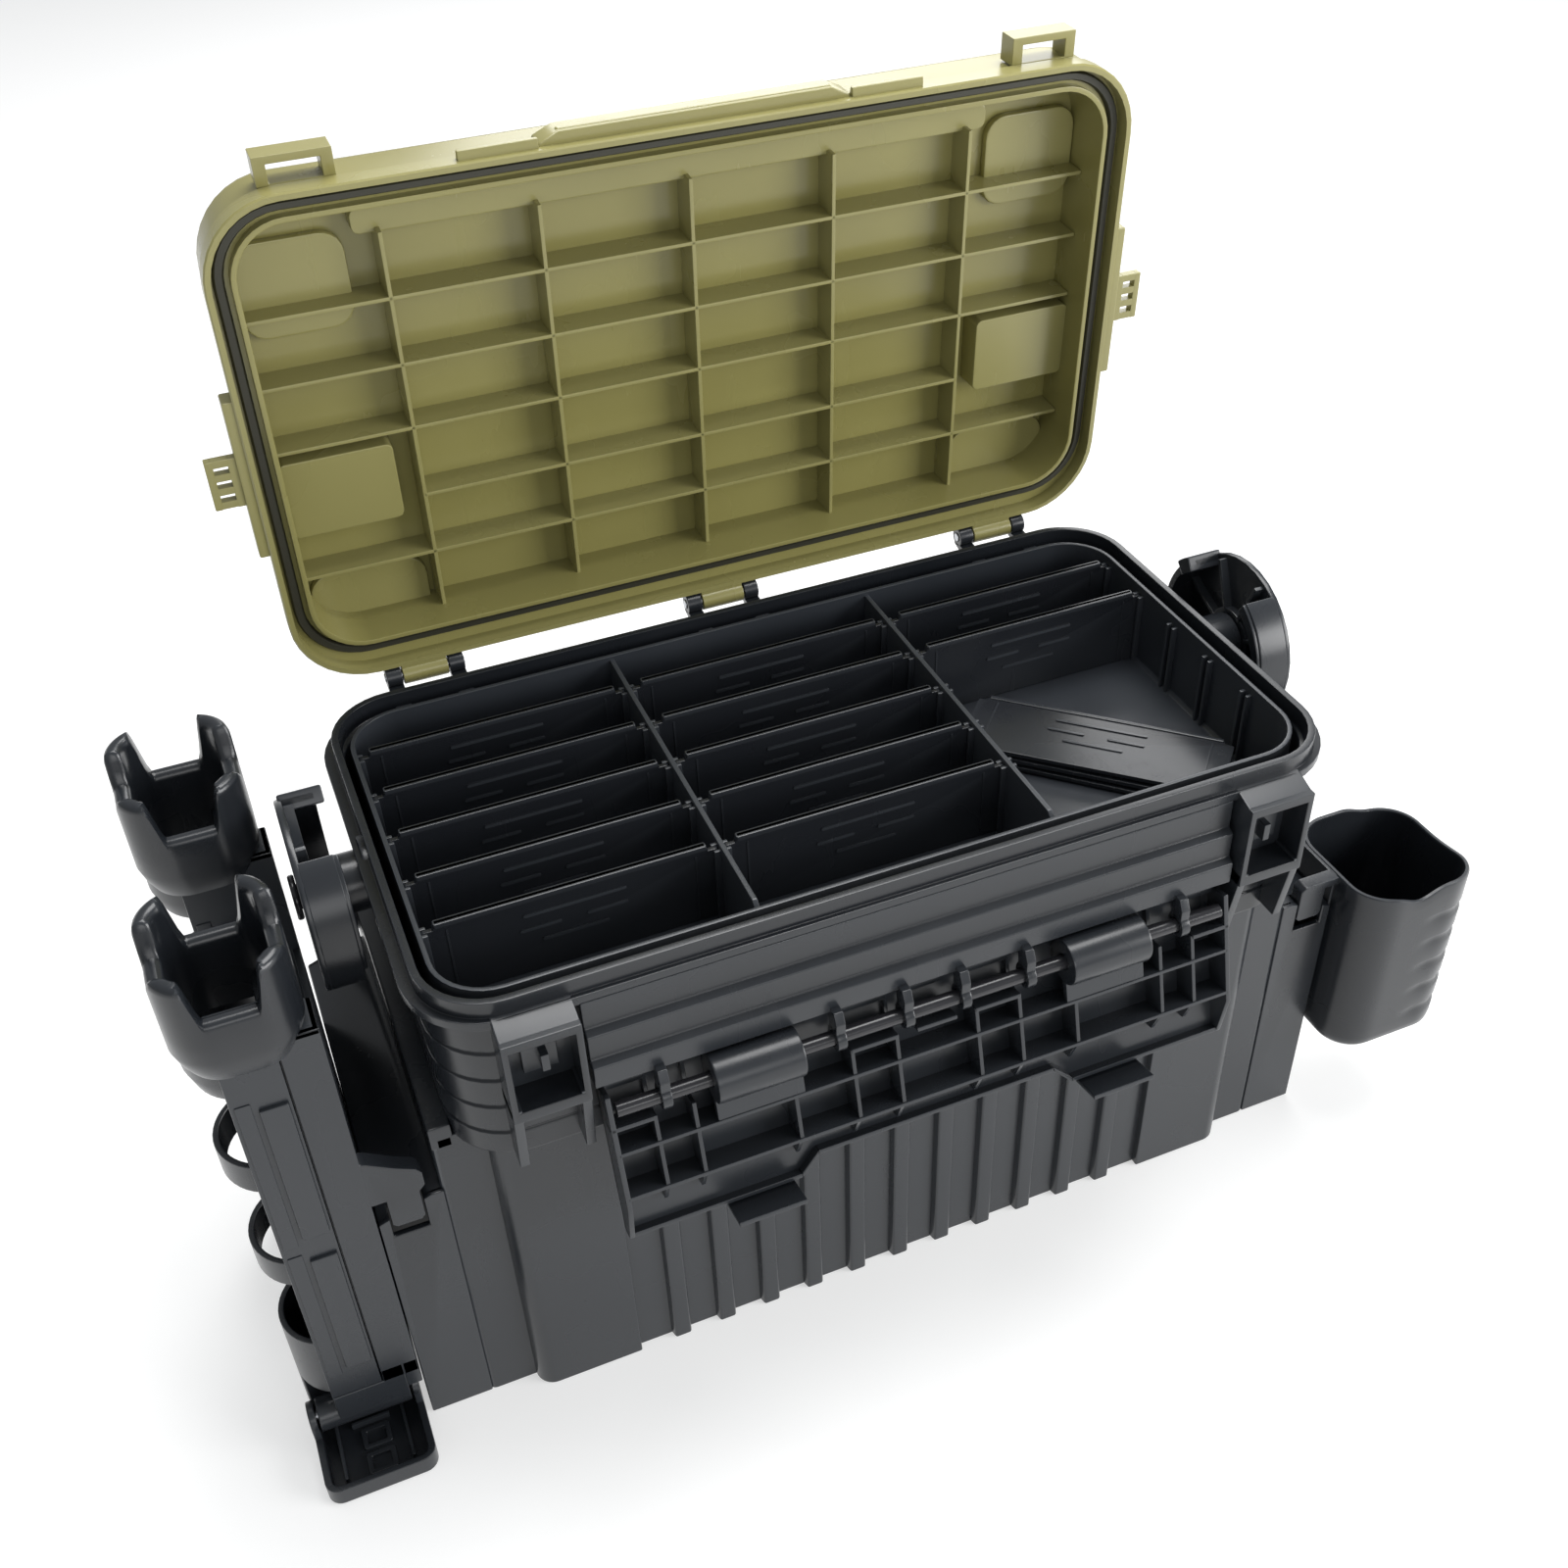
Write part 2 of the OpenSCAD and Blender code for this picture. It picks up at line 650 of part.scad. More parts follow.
module foot() color(black) difference() {
    union() {
        difference() {
            union() {
                block([-266, -97, 0], [-220, -55, 9.4]);
                block([-260, -103, 0], [-226, -96, 9.4]);
                for (x = [-260, -226]) translate([x, -97, 0]) cylinder(r = 6, h = 9.4);
            }
            block([-263, -98, 2], [-223, -54, 10]);
            block([-259, -100.5, 2], [-227, -97, 10]);
        }
        for (x = [-266, -223]) {
            rod_x(x, x + 3, foot_y, foot_z, 6.6);
            block([x, foot_y - 6.6, 5], [x + 3, foot_y + 6.6, foot_z]);
        }
        // catch windows on the floor
        for (y = [-92, -80]) difference() {
            block([-248, y - 5, 1], [-236, y + 5, 3.4]);
            block([-246, y - 3, 2], [-238, y + 3, 4]);
        }
        block([-258, -96, 1], [-256.6, -58, 5]);
        block([-230, -96, 1], [-228.6, -58, 5]);
    }
    rod_x(-267, -219, foot_y, foot_z, foot_pin_r + run);
}

// ---------- cup ----------

module cup() color(black) {
    translate([cup_x, cup_y, 0]) difference() {
        slab(cup_w, cup_d, 18, cup_z, cup_z + cup_h);
        slab(cup_w - 5, cup_d - 5, 15.5, cup_z + wall, cup_z + cup_h + 1);
        // finger grooves on the outer half
        for (k = [0:4]) difference() {
            block([0, -cup_d, cup_z + 14 + 15 * k], [cup_w, cup_d, cup_z + 18 + 15 * k]);
            slab(cup_w - 1.8, cup_d - 1.8, 17.1, cup_z, cup_z + cup_h);
        }
    }
    // hanging plate with a hook over the cheek's top
    block([cheek_w / 2 + 0.4, spine_y + 2, 72], [cheek_w / 2 + 3, -44, cheek_h + 8]);
    block([notch_x - 6.5, spine_y, cheek_h + 4], [cheek_w / 2 + 2, spine_y + 7, cheek_h + 8]);
    block([notch_x - 6.5, spine_y, cheek_h - 12], [notch_x + 6.5, spine_y + 7, cheek_h + 6]);
}

tub();
side_bracket();
latch_pin();
lid_hinge_pins();
handle_pivots();
foot_pin();
lid();
lid_gasket();
latch_flap();
carry_handle();
foot();
cup();
rod_holder_front();
rod_holder_rear();
tray();
divider(0, 0);  // divider_left_1
divider(0, 1);  // divider_left_2
divider(0, 2);  // divider_left_3
divider(0, 3);  // divider_left_4
divider(0, 4);  // divider_left_5
divider(1, 0);  // divider_middle_1
divider(1, 1);  // divider_middle_2
divider(1, 2);  // divider_middle_3
divider(1, 3);  // divider_middle_4
divider(1, 4);  // divider_middle_5
divider(2, 0);  // divider_right_1
divider(2, 1);  // divider_right_2
loose_divider(0);  // loose_divider_1
loose_divider(1);  // loose_divider_2
loose_divider(2);  // loose_divider_3
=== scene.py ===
"""Looks of an open fishing tackle box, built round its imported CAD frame.

Sizes are millimetres until a piece is made; the row frame has its origin in the middle of the
tub's base, +X to the right, +Y to the lid hinge and +Z up.
"""

import json
import logging
import math
from dataclasses import dataclass
from enum import Enum

import bmesh
import bpy
from mathutils import Matrix, Vector


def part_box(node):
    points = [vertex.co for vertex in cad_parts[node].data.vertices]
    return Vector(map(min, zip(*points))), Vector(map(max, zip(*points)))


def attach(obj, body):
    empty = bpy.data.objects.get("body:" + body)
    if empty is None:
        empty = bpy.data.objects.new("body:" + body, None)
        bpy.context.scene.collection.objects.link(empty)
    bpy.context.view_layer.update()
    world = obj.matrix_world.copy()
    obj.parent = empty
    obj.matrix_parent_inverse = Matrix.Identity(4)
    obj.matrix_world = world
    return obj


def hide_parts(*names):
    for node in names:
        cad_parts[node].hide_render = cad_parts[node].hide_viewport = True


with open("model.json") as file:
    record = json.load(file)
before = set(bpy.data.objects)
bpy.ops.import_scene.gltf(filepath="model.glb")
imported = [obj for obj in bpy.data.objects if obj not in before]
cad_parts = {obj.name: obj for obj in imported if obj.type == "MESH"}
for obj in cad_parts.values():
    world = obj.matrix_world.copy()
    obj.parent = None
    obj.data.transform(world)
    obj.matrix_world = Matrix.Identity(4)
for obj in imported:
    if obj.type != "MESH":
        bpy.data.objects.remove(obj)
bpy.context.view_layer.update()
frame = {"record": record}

LOG = logging.getLogger("tackle_box")
MM = 0.001
SOFTEN = math.radians(28)
SIDES = (-1, 1)
HINGE_X = (-137, 0, 137)
KEEP_SHARP = math.radians(40)
Flat = tuple[float, float]
Solid3 = tuple[float, float, float]


class Axis(Enum):
    """Direction in which an outline is drawn out."""

    X = 0
    Y = 1
    Z = 2

    def lift(self, point: Flat, height: float) -> Solid3:
        """Turns an outline's point at some height into a point in space."""
        a, b = point
        if self is Axis.X:
            return (height, a, b)
        if self is Axis.Y:
            return (a, height, b)
        return (a, b, height)


def cad_box(node: str) -> tuple[Vector, Vector]:
    """Lowest and highest corner of a CAD node, in millimetres."""
    lo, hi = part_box(node)
    return lo / MM, hi / MM


def joint(name: str) -> dict:
    """The record's joint of that name."""
    for entry in frame["record"]["behaviour"]["joints"]:
        if entry["name"] == name:
            return entry
    raise KeyError(name)


def joint_place(name: str, degrees: float) -> Matrix:
    """Matrix, in millimetres, that turns a piece about a joint.

    Args:
        name: the joint in the record.
        degrees: how far it turns, by the right-hand rule about the joint's axis.
    Returns:
        The matrix.
    """
    entry = joint(name)
    pivot = Vector(entry["pos_m"]) / MM
    turn = Matrix.Rotation(math.radians(degrees), 4, Vector(entry["axis"]))
    return Matrix.Translation(pivot) @ turn @ Matrix.Translation(-pivot)


# ---------------------------------------------------------------- outlines


def rounded(width: float, depth: float, radius: float, middle: Flat = (0, 0), steps: int = 7) -> list[Flat]:
    """A rectangle with round corners.

    Args:
        width: size along the first axis.
        depth: size along the second axis.
        radius: corner radius.
        middle: its middle.
        steps: straight pieces in each corner.
    Returns:
        Its points, anticlockwise.
    """
    points = []
    for quarter, (sx, sy) in enumerate(((1, 1), (-1, 1), (-1, -1), (1, -1))):
        cx = middle[0] + sx * (width / 2 - radius)
        cy = middle[1] + sy * (depth / 2 - radius)
        for k in range(steps + 1):
            a = math.pi / 2 * (quarter + k / steps)
            points.append((cx + radius * math.cos(a), cy + radius * math.sin(a)))
    return points


def ring(radius: float, middle: Flat = (0, 0), steps: int = 32) -> list[Flat]:
    """A circle's points."""
    turns = [2 * math.pi * k / steps for k in range(steps)]
    return [(middle[0] + radius * math.cos(a), middle[1] + radius * math.sin(a)) for a in turns]


def dee(radius: float, middle: Flat, flat: float, steps: int = 30) -> list[Flat]:
    """A circle cut flat on its right-hand side at x = flat."""
    start = math.acos(min(1.0, (flat - middle[0]) / radius))
    turns = [start + (2 * math.pi - 2 * start) * k / steps for k in range(steps + 1)]
    return [(middle[0] + radius * math.cos(a), middle[1] + radius * math.sin(a)) for a in turns]


def arch(inner: float, outer: float, start: float, end: float, middle: Flat, steps: int = 16) -> list[Flat]:
    """A curved bar between two radii and two angles, in degrees."""
    turns = [math.radians(start + (end - start) * k / steps) for k in range(steps + 1)]
    far = [(middle[0] + outer * math.cos(a), middle[1] + outer * math.sin(a)) for a in turns]
    near = [(middle[0] + inner * math.cos(a), middle[1] + inner * math.sin(a)) for a in turns]
    return far + near[::-1]


def smooth(low: float, high: float, value: float) -> float:
    """0 below low, 1 above high, and an S-curve between them."""
    t = min(1.0, max(0.0, (value - low) / (high - low)))
    return t * t * (3 - 2 * t)


# ---------------------------------------------------------------- solids


class Moulding:
    """Closed, softly edged shells that together make one moulded piece."""

    def __init__(self, place: Matrix | None = None) -> None:
        """Starts an empty moulding; place is applied to every shell."""
        self.verts: list[Vector] = []
        self.faces: list[list[int]] = []
        self.home = place or Matrix.Identity(4)
        self.place = self.home

    def mirrored(self, side: int) -> None:
        """Draws what follows on the right (1) or mirrored to the left (-1)."""
        self.place = self.home @ Matrix.Diagonal((side, 1, 1, 1))

    def shell(self, verts: list[Solid3], faces: list[list[int]], soft: float, steps: int = 2) -> None:
        """Adds one closed shell and rounds its sharp edges.

        Args:
            verts: its corners.
            faces: its faces, as indices.
            soft: how far the rounding reaches from an edge.
            steps: faces across the rounding.
        """
        bm = bmesh.new()
        made = [bm.verts.new(v) for v in verts]
        for face in faces:
            bm.faces.new([made[i] for i in face])
        bmesh.ops.recalc_face_normals(bm, faces=bm.faces)
        if soft > 0:
            edges = [e for e in bm.edges if e.is_manifold and e.calc_face_angle() > SOFTEN]
            bmesh.ops.bevel(bm, geom=edges, offset=soft, offset_type="OFFSET", segments=steps,
                            profile=0.5, affect="EDGES", clamp_overlap=True)
        start = len(self.verts)
        bm.verts.index_update()
        flipped = self.place.determinant() < 0
        self.verts += [self.place @ v.co for v in bm.verts]
        for face in bm.faces:
            loop = [start + v.index for v in face.verts]
            self.faces.append(loop[::-1] if flipped else loop)
        bm.free()

    def box(self, low: Solid3, high: Solid3, soft: float = 0.5) -> None:
        """Adds a block from its low corner to its high corner."""
        outline = [(low[0], low[1]), (high[0], low[1]), (high[0], high[1]), (low[0], high[1])]
        self.prism(outline, Axis.Z, low[2], high[2], soft)

    def prism(self, outline: list[Flat], axis: Axis, start: float, end: float, soft: float = 0.5) -> None:
        """Adds an outline drawn out along an axis."""
        self.loft([[axis.lift(p, h) for p in outline] for h in (start, end)], soft)

    def loft(self, rings: list[list[Solid3]], soft: float = 0.5, loop: bool = False) -> None:
        """Adds a skin through rings of equal count.

        Args:
            rings: the rings, in order.
            soft: rounding of sharp edges.
            loop: joins the last ring to the first, for a wall that closes on itself.
        """
        count = len(rings[0])
        faces = []
        pairs = len(rings) if loop else len(rings) - 1
        for r in range(pairs):
            here = r * count
            there = (r + 1) % len(rings) * count
            for k in range(count):
                n = (k + 1) % count
                faces.append([here + k, here + n, there + n, there + k])
        if not loop:
            faces.append(list(range(count))[::-1])
            faces.append([len(rings) * count - count + k for k in range(count)])
        self.shell([p for r in rings for p in r], faces, soft)

    def frame(self, outer: list[Flat], inner: list[Flat], axis: Axis, start: float, end: float,
              soft: float = 0.4) -> None:
        """Adds a ring-shaped wall between two outlines of equal count."""
        rings = [(outer, start), (outer, end), (inner, end), (inner, start)]
        self.loft([[axis.lift(p, h) for p in line] for line, h in rings], soft, loop=True)

    def rod(self, axis: Axis, middle: Flat, radius: float, start: float, end: float,
            soft: float = 0.5, hole: float = 0.0) -> None:
        """Adds a rod, or a tube if it has a hole."""
        if hole:
            self.frame(ring(radius, middle), ring(hole, middle), axis, start, end, soft)
        else:
            self.prism(ring(radius, middle), axis, start, end, soft)

    def vessel(self, walls: list[tuple[list[Flat], float]], soft: float = 0.8) -> None:
        """Adds a hollow form: up its outside, over its rim and down to its floor."""
        self.loft([[Axis.Z.lift(p, z) for p in line] for line, z in walls], soft)

    def piece(self, name: str, body: str, finish: "Finish", nodes: list[str]) -> bpy.types.Object:
        """Makes the object, dresses it and hands it to the frame.

        Args:
            name: the object's name.
            body: the CAD body it rides on.
            finish: its material.
            nodes: the CAD nodes it stands for.
        Returns:
            The object.
        """
        mesh = bpy.data.meshes.new(name)
        mesh.from_pydata([tuple(v * MM) for v in self.verts], [], self.faces)
        for poly in mesh.polygons:
            poly.use_smooth = True
        mesh.set_sharp_from_angle(angle=KEEP_SHARP)
        mesh.materials.append(finish.material())
        made = bpy.data.objects.new(name, mesh)
        bpy.context.scene.collection.objects.link(made)
        even = made.modifiers.new("even_shading", "WEIGHTED_NORMAL")
        even.keep_sharp = True
        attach(made, body)
        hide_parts(*nodes)
        LOG.info("%s: %d faces on %s", name, len(self.faces), body)
        return made


# ---------------------------------------------------------------- finishes


class Effects:
    """Shader node groups that several finishes share."""

    made: dict[str, bpy.types.NodeTree] = {}

    @staticmethod
    def sockets(tree: bpy.types.NodeTree, inputs: dict[str, float], outputs: list[str]) -> None:
        """Names a group's inputs, with their usual values, and its outputs."""
        number = "NodeSocketFloat"
        for name, value in inputs.items():
            tree.interface.new_socket(name, in_out="INPUT", socket_type=number).default_value = value
        for name in outputs:
            tree.interface.new_socket(name, in_out="OUTPUT", socket_type=number)

    @classmethod
    def grain(cls) -> bpy.types.NodeTree:
        """Fine spark-eroded grain of a mould, with slow swells from uneven cooling."""
        if "moulded_grain" in cls.made:
            return cls.made["moulded_grain"]
        tree = bpy.data.node_groups.new("moulded_grain", "ShaderNodeTree")
        cls.sockets(tree, {"Grain Scale": 1500.0, "Swell Scale": 14.0, "Swell": 0.35}, ["Height", "Cloud"])
        nodes, links = tree.nodes, tree.links
        into = nodes.new("NodeGroupInput")
        out = nodes.new("NodeGroupOutput")
        where = nodes.new("ShaderNodeTexCoord")
        fine = nodes.new("ShaderNodeTexNoise")
        fine.inputs["Detail"].default_value = 2.0
        slow = nodes.new("ShaderNodeTexNoise")
        slow.inputs["Detail"].default_value = 3.0
        mix = nodes.new("ShaderNodeMath")
        mix.operation = "MULTIPLY_ADD"
        links.new(where.outputs["Object"], fine.inputs["Vector"])
        links.new(where.outputs["Object"], slow.inputs["Vector"])
        links.new(into.outputs["Grain Scale"], fine.inputs["Scale"])
        links.new(into.outputs["Swell Scale"], slow.inputs["Scale"])
        links.new(slow.outputs["Fac"], mix.inputs[0])
        links.new(into.outputs["Swell"], mix.inputs[1])
        links.new(fine.outputs["Fac"], mix.inputs[2])
        links.new(mix.outputs[0], out.inputs["Height"])
        links.new(slow.outputs["Fac"], out.inputs["Cloud"])
        cls.made["moulded_grain"] = tree
        return tree

    @classmethod
    def rubs_and_edge_highlight(cls) -> bpy.types.NodeTree:
        """Outer edges, lightened partly as handling wear and partly as a painted highlight, and faint rub
        streaks from handling.
        """
        if "edge_wear_and_highlight" in cls.made:
            return cls.made["edge_wear_and_highlight"]
        tree = bpy.data.node_groups.new("edge_wear_and_highlight", "ShaderNodeTree")
        cls.sockets(tree, {"Edge Wear And Highlight": 0.6, "Streak Scale": 60.0}, ["Edge Wear And Highlight", "Streak"])
        nodes, links = tree.nodes, tree.links
        into = nodes.new("NodeGroupInput")
        out = nodes.new("NodeGroupOutput")
        shape = nodes.new("ShaderNodeNewGeometry")
        # Pointiness picks the convex edges that get the lighter edge colour: partly wear, partly a painted
        # highlight.
        crest = nodes.new("ShaderNodeMapRange")
        crest.inputs["From Min"].default_value = 0.52
        crest.inputs["From Max"].default_value = 0.64
        worn_and_highlight = nodes.new("ShaderNodeMath")
        worn_and_highlight.operation = "MULTIPLY"
        where = nodes.new("ShaderNodeTexCoord")
        stretch = nodes.new("ShaderNodeMapping")
        stretch.inputs["Scale"].default_value = (1.0, 1.0, 0.12)
        streak = nodes.new("ShaderNodeTexNoise")
        streak.inputs["Detail"].default_value = 4.0
        pick = nodes.new("ShaderNodeMapRange")
        pick.inputs["From Min"].default_value = 0.56
        pick.inputs["From Max"].default_value = 0.78
        links.new(shape.outputs["Pointiness"], crest.inputs["Value"])
        links.new(crest.outputs["Result"], worn_and_highlight.inputs[0])
        links.new(into.outputs["Edge Wear And Highlight"], worn_and_highlight.inputs[1])
        links.new(worn_and_highlight.outputs[0], out.inputs["Edge Wear And Highlight"])
        links.new(where.outputs["Object"], stretch.inputs["Vector"])
        links.new(stretch.outputs["Vector"], streak.inputs["Vector"])
        links.new(into.outputs["Streak Scale"], streak.inputs["Scale"])
        links.new(streak.outputs["Fac"], pick.inputs["Value"])
        links.new(pick.outputs["Result"], out.inputs["Streak"])
        cls.made["edge_wear_and_highlight"] = tree
        return tree


@dataclass(frozen=True)
class Finish:
    """One moulded, rubber or metal finish."""

    name: str
    slot: str
    colour: tuple[float, float, float]
    # Colour on the outer edges: partly handling wear, partly a painted edge highlight.
    rubbed_and_highlight: tuple[float, float, float]
    rough: float
    rough_span: float = 0.10
    grain_scale: float = 1500.0
    grain_depth: float = 0.00004
    # How strongly the outer edges take that lighter colour (wear and painted highlight).
    edge_wear_highlight: float = 0.6
    streak_scale: float = 60.0
    metallic: float = 0.0

    def material(self) -> bpy.types.Material:
        """The finish's material, made once.

        Returns:
            The material.
        """
        known = bpy.data.materials.get(self.name)
        if known:
            return known
        made = bpy.data.materials.new(self.name)
        made.use_nodes = True
        nodes, links = made.node_tree.nodes, made.node_tree.links
        skin = nodes["Principled BSDF"]
        skin.inputs["Metallic"].default_value = self.metallic
        skin.inputs["Specular IOR Level"].default_value = 0.5
        grain = nodes.new("ShaderNodeGroup")
        grain.node_tree = Effects.grain()
        grain.inputs["Grain Scale"].default_value = self.grain_scale
        rubs_and_edge_highlight = nodes.new("ShaderNodeGroup")
        rubs_and_edge_highlight.node_tree = Effects.rubs_and_edge_highlight()
        rubs_and_edge_highlight.inputs["Edge Wear And Highlight"].default_value = self.edge_wear_highlight
        rubs_and_edge_highlight.inputs["Streak Scale"].default_value = self.streak_scale
        cloud = self.blend(made, self.colour, tuple(min(1.0, c * 1.35 + 0.002) for c in self.colour))
        links.new(grain.outputs["Cloud"], cloud.inputs["Factor"])
        # Outer edges lightened towards the edge colour: partly wear, partly a painted highlight.
        worn_and_highlight = self.blend(made, self.colour, self.rubbed_and_highlight)
        links.new(rubs_and_edge_highlight.outputs["Edge Wear And Highlight"], worn_and_highlight.inputs["Factor"])
        links.new(cloud.outputs[2], worn_and_highlight.inputs[6])
        links.new(worn_and_highlight.outputs[2], skin.inputs["Base Color"])
        gloss = nodes.new("ShaderNodeMapRange")
        gloss.inputs["From Min"].default_value = 0.3
        gloss.inputs["From Max"].default_value = 0.7
        gloss.inputs["To Min"].default_value = self.rough - self.rough_span / 2
        gloss.inputs["To Max"].default_value = self.rough + self.rough_span / 2
        links.new(grain.outputs["Cloud"], gloss.inputs["Value"])
        polish = nodes.new("ShaderNodeMath")
        polish.operation = "MULTIPLY_ADD"
        polish.inputs[1].default_value = 0.07
        links.new(rubs_and_edge_highlight.outputs["Streak"], polish.inputs[0])
        links.new(gloss.outputs["Result"], polish.inputs[2])
        links.new(polish.outputs[0], skin.inputs["Roughness"])
        bump = nodes.new("ShaderNodeBump")
        bump.inputs["Strength"].default_value = 0.35
        bump.inputs["Distance"].default_value = self.grain_depth
        links.new(grain.outputs["Height"], bump.inputs["Height"])
        links.new(bump.outputs["Normal"], skin.inputs["Normal"])
        return made

    @staticmethod
    def blend(made: bpy.types.Material, low: tuple, high: tuple) -> bpy.types.Node:
        """A colour mix in a material, from low to high."""
        node = made.node_tree.nodes.new("ShaderNodeMix")
        node.data_type = "RGBA"
        node.inputs[6].default_value = (*low, 1.0)
        node.inputs[7].default_value = (*high, 1.0)
        return node


# Each finish's second colour goes on its outer edges: partly handling wear, partly a painted edge highlight.
BLACK = Finish("satin_black", "black_shell", (0.0085, 0.0100, 0.0125), (0.05, 0.056, 0.064), 0.27)
# Tray black: its own black, raised lighter than the other black plastics to paint the sheen of the top light
# on the tray floor.
TRAY_BLACK_WITH_SHEEN = Finish("tray_black_with_painted_sheen", "tray_black", (0.021, 0.024, 0.029), (0.06, 0.066, 0.074), 0.34,
                      grain_depth=0.00002)
DIVIDER_BLACK = Finish("fine_black", "divider_black", (0.007, 0.008, 0.0105), (0.06, 0.067, 0.076), 0.27,
                       grain_scale=2200.0)
OLIVE = Finish("satin_olive", "olive_lid", (0.200, 0.182, 0.060), (0.36, 0.34, 0.17), 0.26,
               rough_span=0.08, edge_wear_highlight=0.5)
SEAL = Finish("seal_rubber", "seal", (0.020, 0.019, 0.011), (0.05, 0.05, 0.03), 0.5, edge_wear_highlight=0.3)
PIN_BLACK = Finish("pin_black", "black_pin", (0.010, 0.010, 0.012), (0.05, 0.05, 0.055), 0.2)
STEEL = Finish("drawn_steel", "steel_pin", (0.36, 0.37, 0.39), (0.62, 0.63, 0.65), 0.3,
               metallic=1.0, streak_scale=400.0)


# ---------------------------------------------------------------- tub


@dataclass
class Tub:
    """Lower body with cheeks, flared upper body, rim, latch carriers and sockets."""

    wall: float = 3.0
    corner: float = 28.0
    upper_w: float = 368.0
    upper_d: float = 190.0
    lower_w: float = 384.0
    well_w: float = 336.0
    flare_z: float = 165.0
    shelf_z: float = 168.0
    flange_z: float = 236.0
    lip_z: float = 240.0
    rib_pitch: float = 21.2
    cheek_inner_z: float = 137.0

    def __post_init__(self) -> None:
        """Reads the half-width from the CAD and the pivots from the record; the depth and the top are given.
        """
        self.half = cad_box("tub")[1].x
        self.back = 77.0
        self.top = 247.0
        self.pin = Vector(joint("latch_hinge")["pos_m"]) / MM
        self.hinge = Vector(joint("lid_hinge")["pos_m"]) / MM
        self.pivot = Vector(joint("handle_swing")["pos_m"]) / MM
        self.solid = Moulding()

    def walls(self) -> None:
        """Outer skin, rim, sealing lip and the stepped inside of the upper body."""
        grow = lambda dx, dy=None, dr=0.0: rounded(
            self.upper_w + dx, self.upper_d + (dx if dy is None else dy), self.corner + dr, steps=9)
        skin = [(grow(-1.0), self.flare_z), (grow(0), self.flare_z + 0.8)]
        for z in (176, 190, 204, 218):
            skin += [(grow(0), z), (grow(-1.8, None, -0.9), z + 0.4), (grow(-1.8, None, -0.9), z + 1.4),
                     (grow(0), z + 1.8)]
        skin += [(grow(0), self.flange_z), (grow(10, None, 4), self.flange_z),
                 (grow(10, None, 4), self.lip_z), (grow(1, 6), self.lip_z),
                 (grow(1, 6), self.top), (grow(-5, 0, -3), self.top),
                 (grow(-5, 0, -3), self.lip_z - 1), (grow(-6, None, -3), self.lip_z - 2),
                 (grow(-6, None, -3), self.shelf_z)]
        well = rounded(self.well_w, 2 * self.back - 8, 8, steps=9)
        skin += [(well, self.shelf_z), (well, self.flare_z)]
        self.solid.loft([[Axis.Z.lift(p, z) for p in line] for line, z in skin], 0.6, loop=True)

    def lower(self) -> None:
        """Lower body, its open cheeks and the corner posts beside the flare."""
        s = self.solid
        outer = rounded(self.lower_w, 2 * self.back, 3, steps=3)
        well = rounded(self.well_w, 2 * self.back - 8, 8, steps=3)
        s.vessel([(outer, 0), (outer, self.flare_z + 1), (well, self.flare_z + 1), (well, self.wall)], 0.8)
        x0, x1 = self.lower_w / 2, self.half
        y0, y1 = -self.back, self.back
        crown = self.cheek_inner_z
        drop = crown - 8
        slope = (crown - drop) / (x1 - x0 - 4)
        n0, n1 = 199, 213
        inner_lip, outer_lip = (n0, drop + slope * (x1 - n0)), (n1, drop + slope * (x1 - n1))
        for side in SIDES:
            s.mirrored(side)
            s.box((183, y0, 160), (x0, y1, 172), 1.2)
            cover = [(x1 - 3, 0.1), (x1, 0.1), (x1, drop), (x0 + 4, crown), (x0 - 1, crown),
                     (x0 - 1, crown - 3), (x0 + 3.4, crown - 3), (x1 - 3, drop - 2)]
            s.prism(cover, Axis.Y, y0 + 8, y1, 0.7)
            end = [(x0 - 1, 0.1), (x1, 0.1), (x1, drop), (x0 + 4, crown), (x0 - 1, crown)]
            s.prism(end, Axis.Y, y1 - 3, y1, 0.8)
            notch = [(x0 - 1, 0.1), (x1, 0.1), (x1, drop), outer_lip, (n1, 120), (n0, 120), inner_lip,
                     (x0 + 4, crown), (x0 - 1, crown)]
            s.prism(notch, Axis.Y, y0, y0 + 3, 0.7)
            s.prism([(n1, drop - 6), (x1, drop - 6), (x1, drop), outer_lip], Axis.Y, y0 + 1, y0 + 9, 0.6)
            s.prism([(x0 - 1, 130), (n0, 130), inner_lip, (x0 + 4, crown), (x0 - 1, crown)], Axis.Y,
                    y0 + 1, y0 + 9, 0.6)
            s.box((x0 - 1, -1.5, 0.1), (x1 - 1, 1.5, drop - 4), 0.4)
        s.mirrored(1)

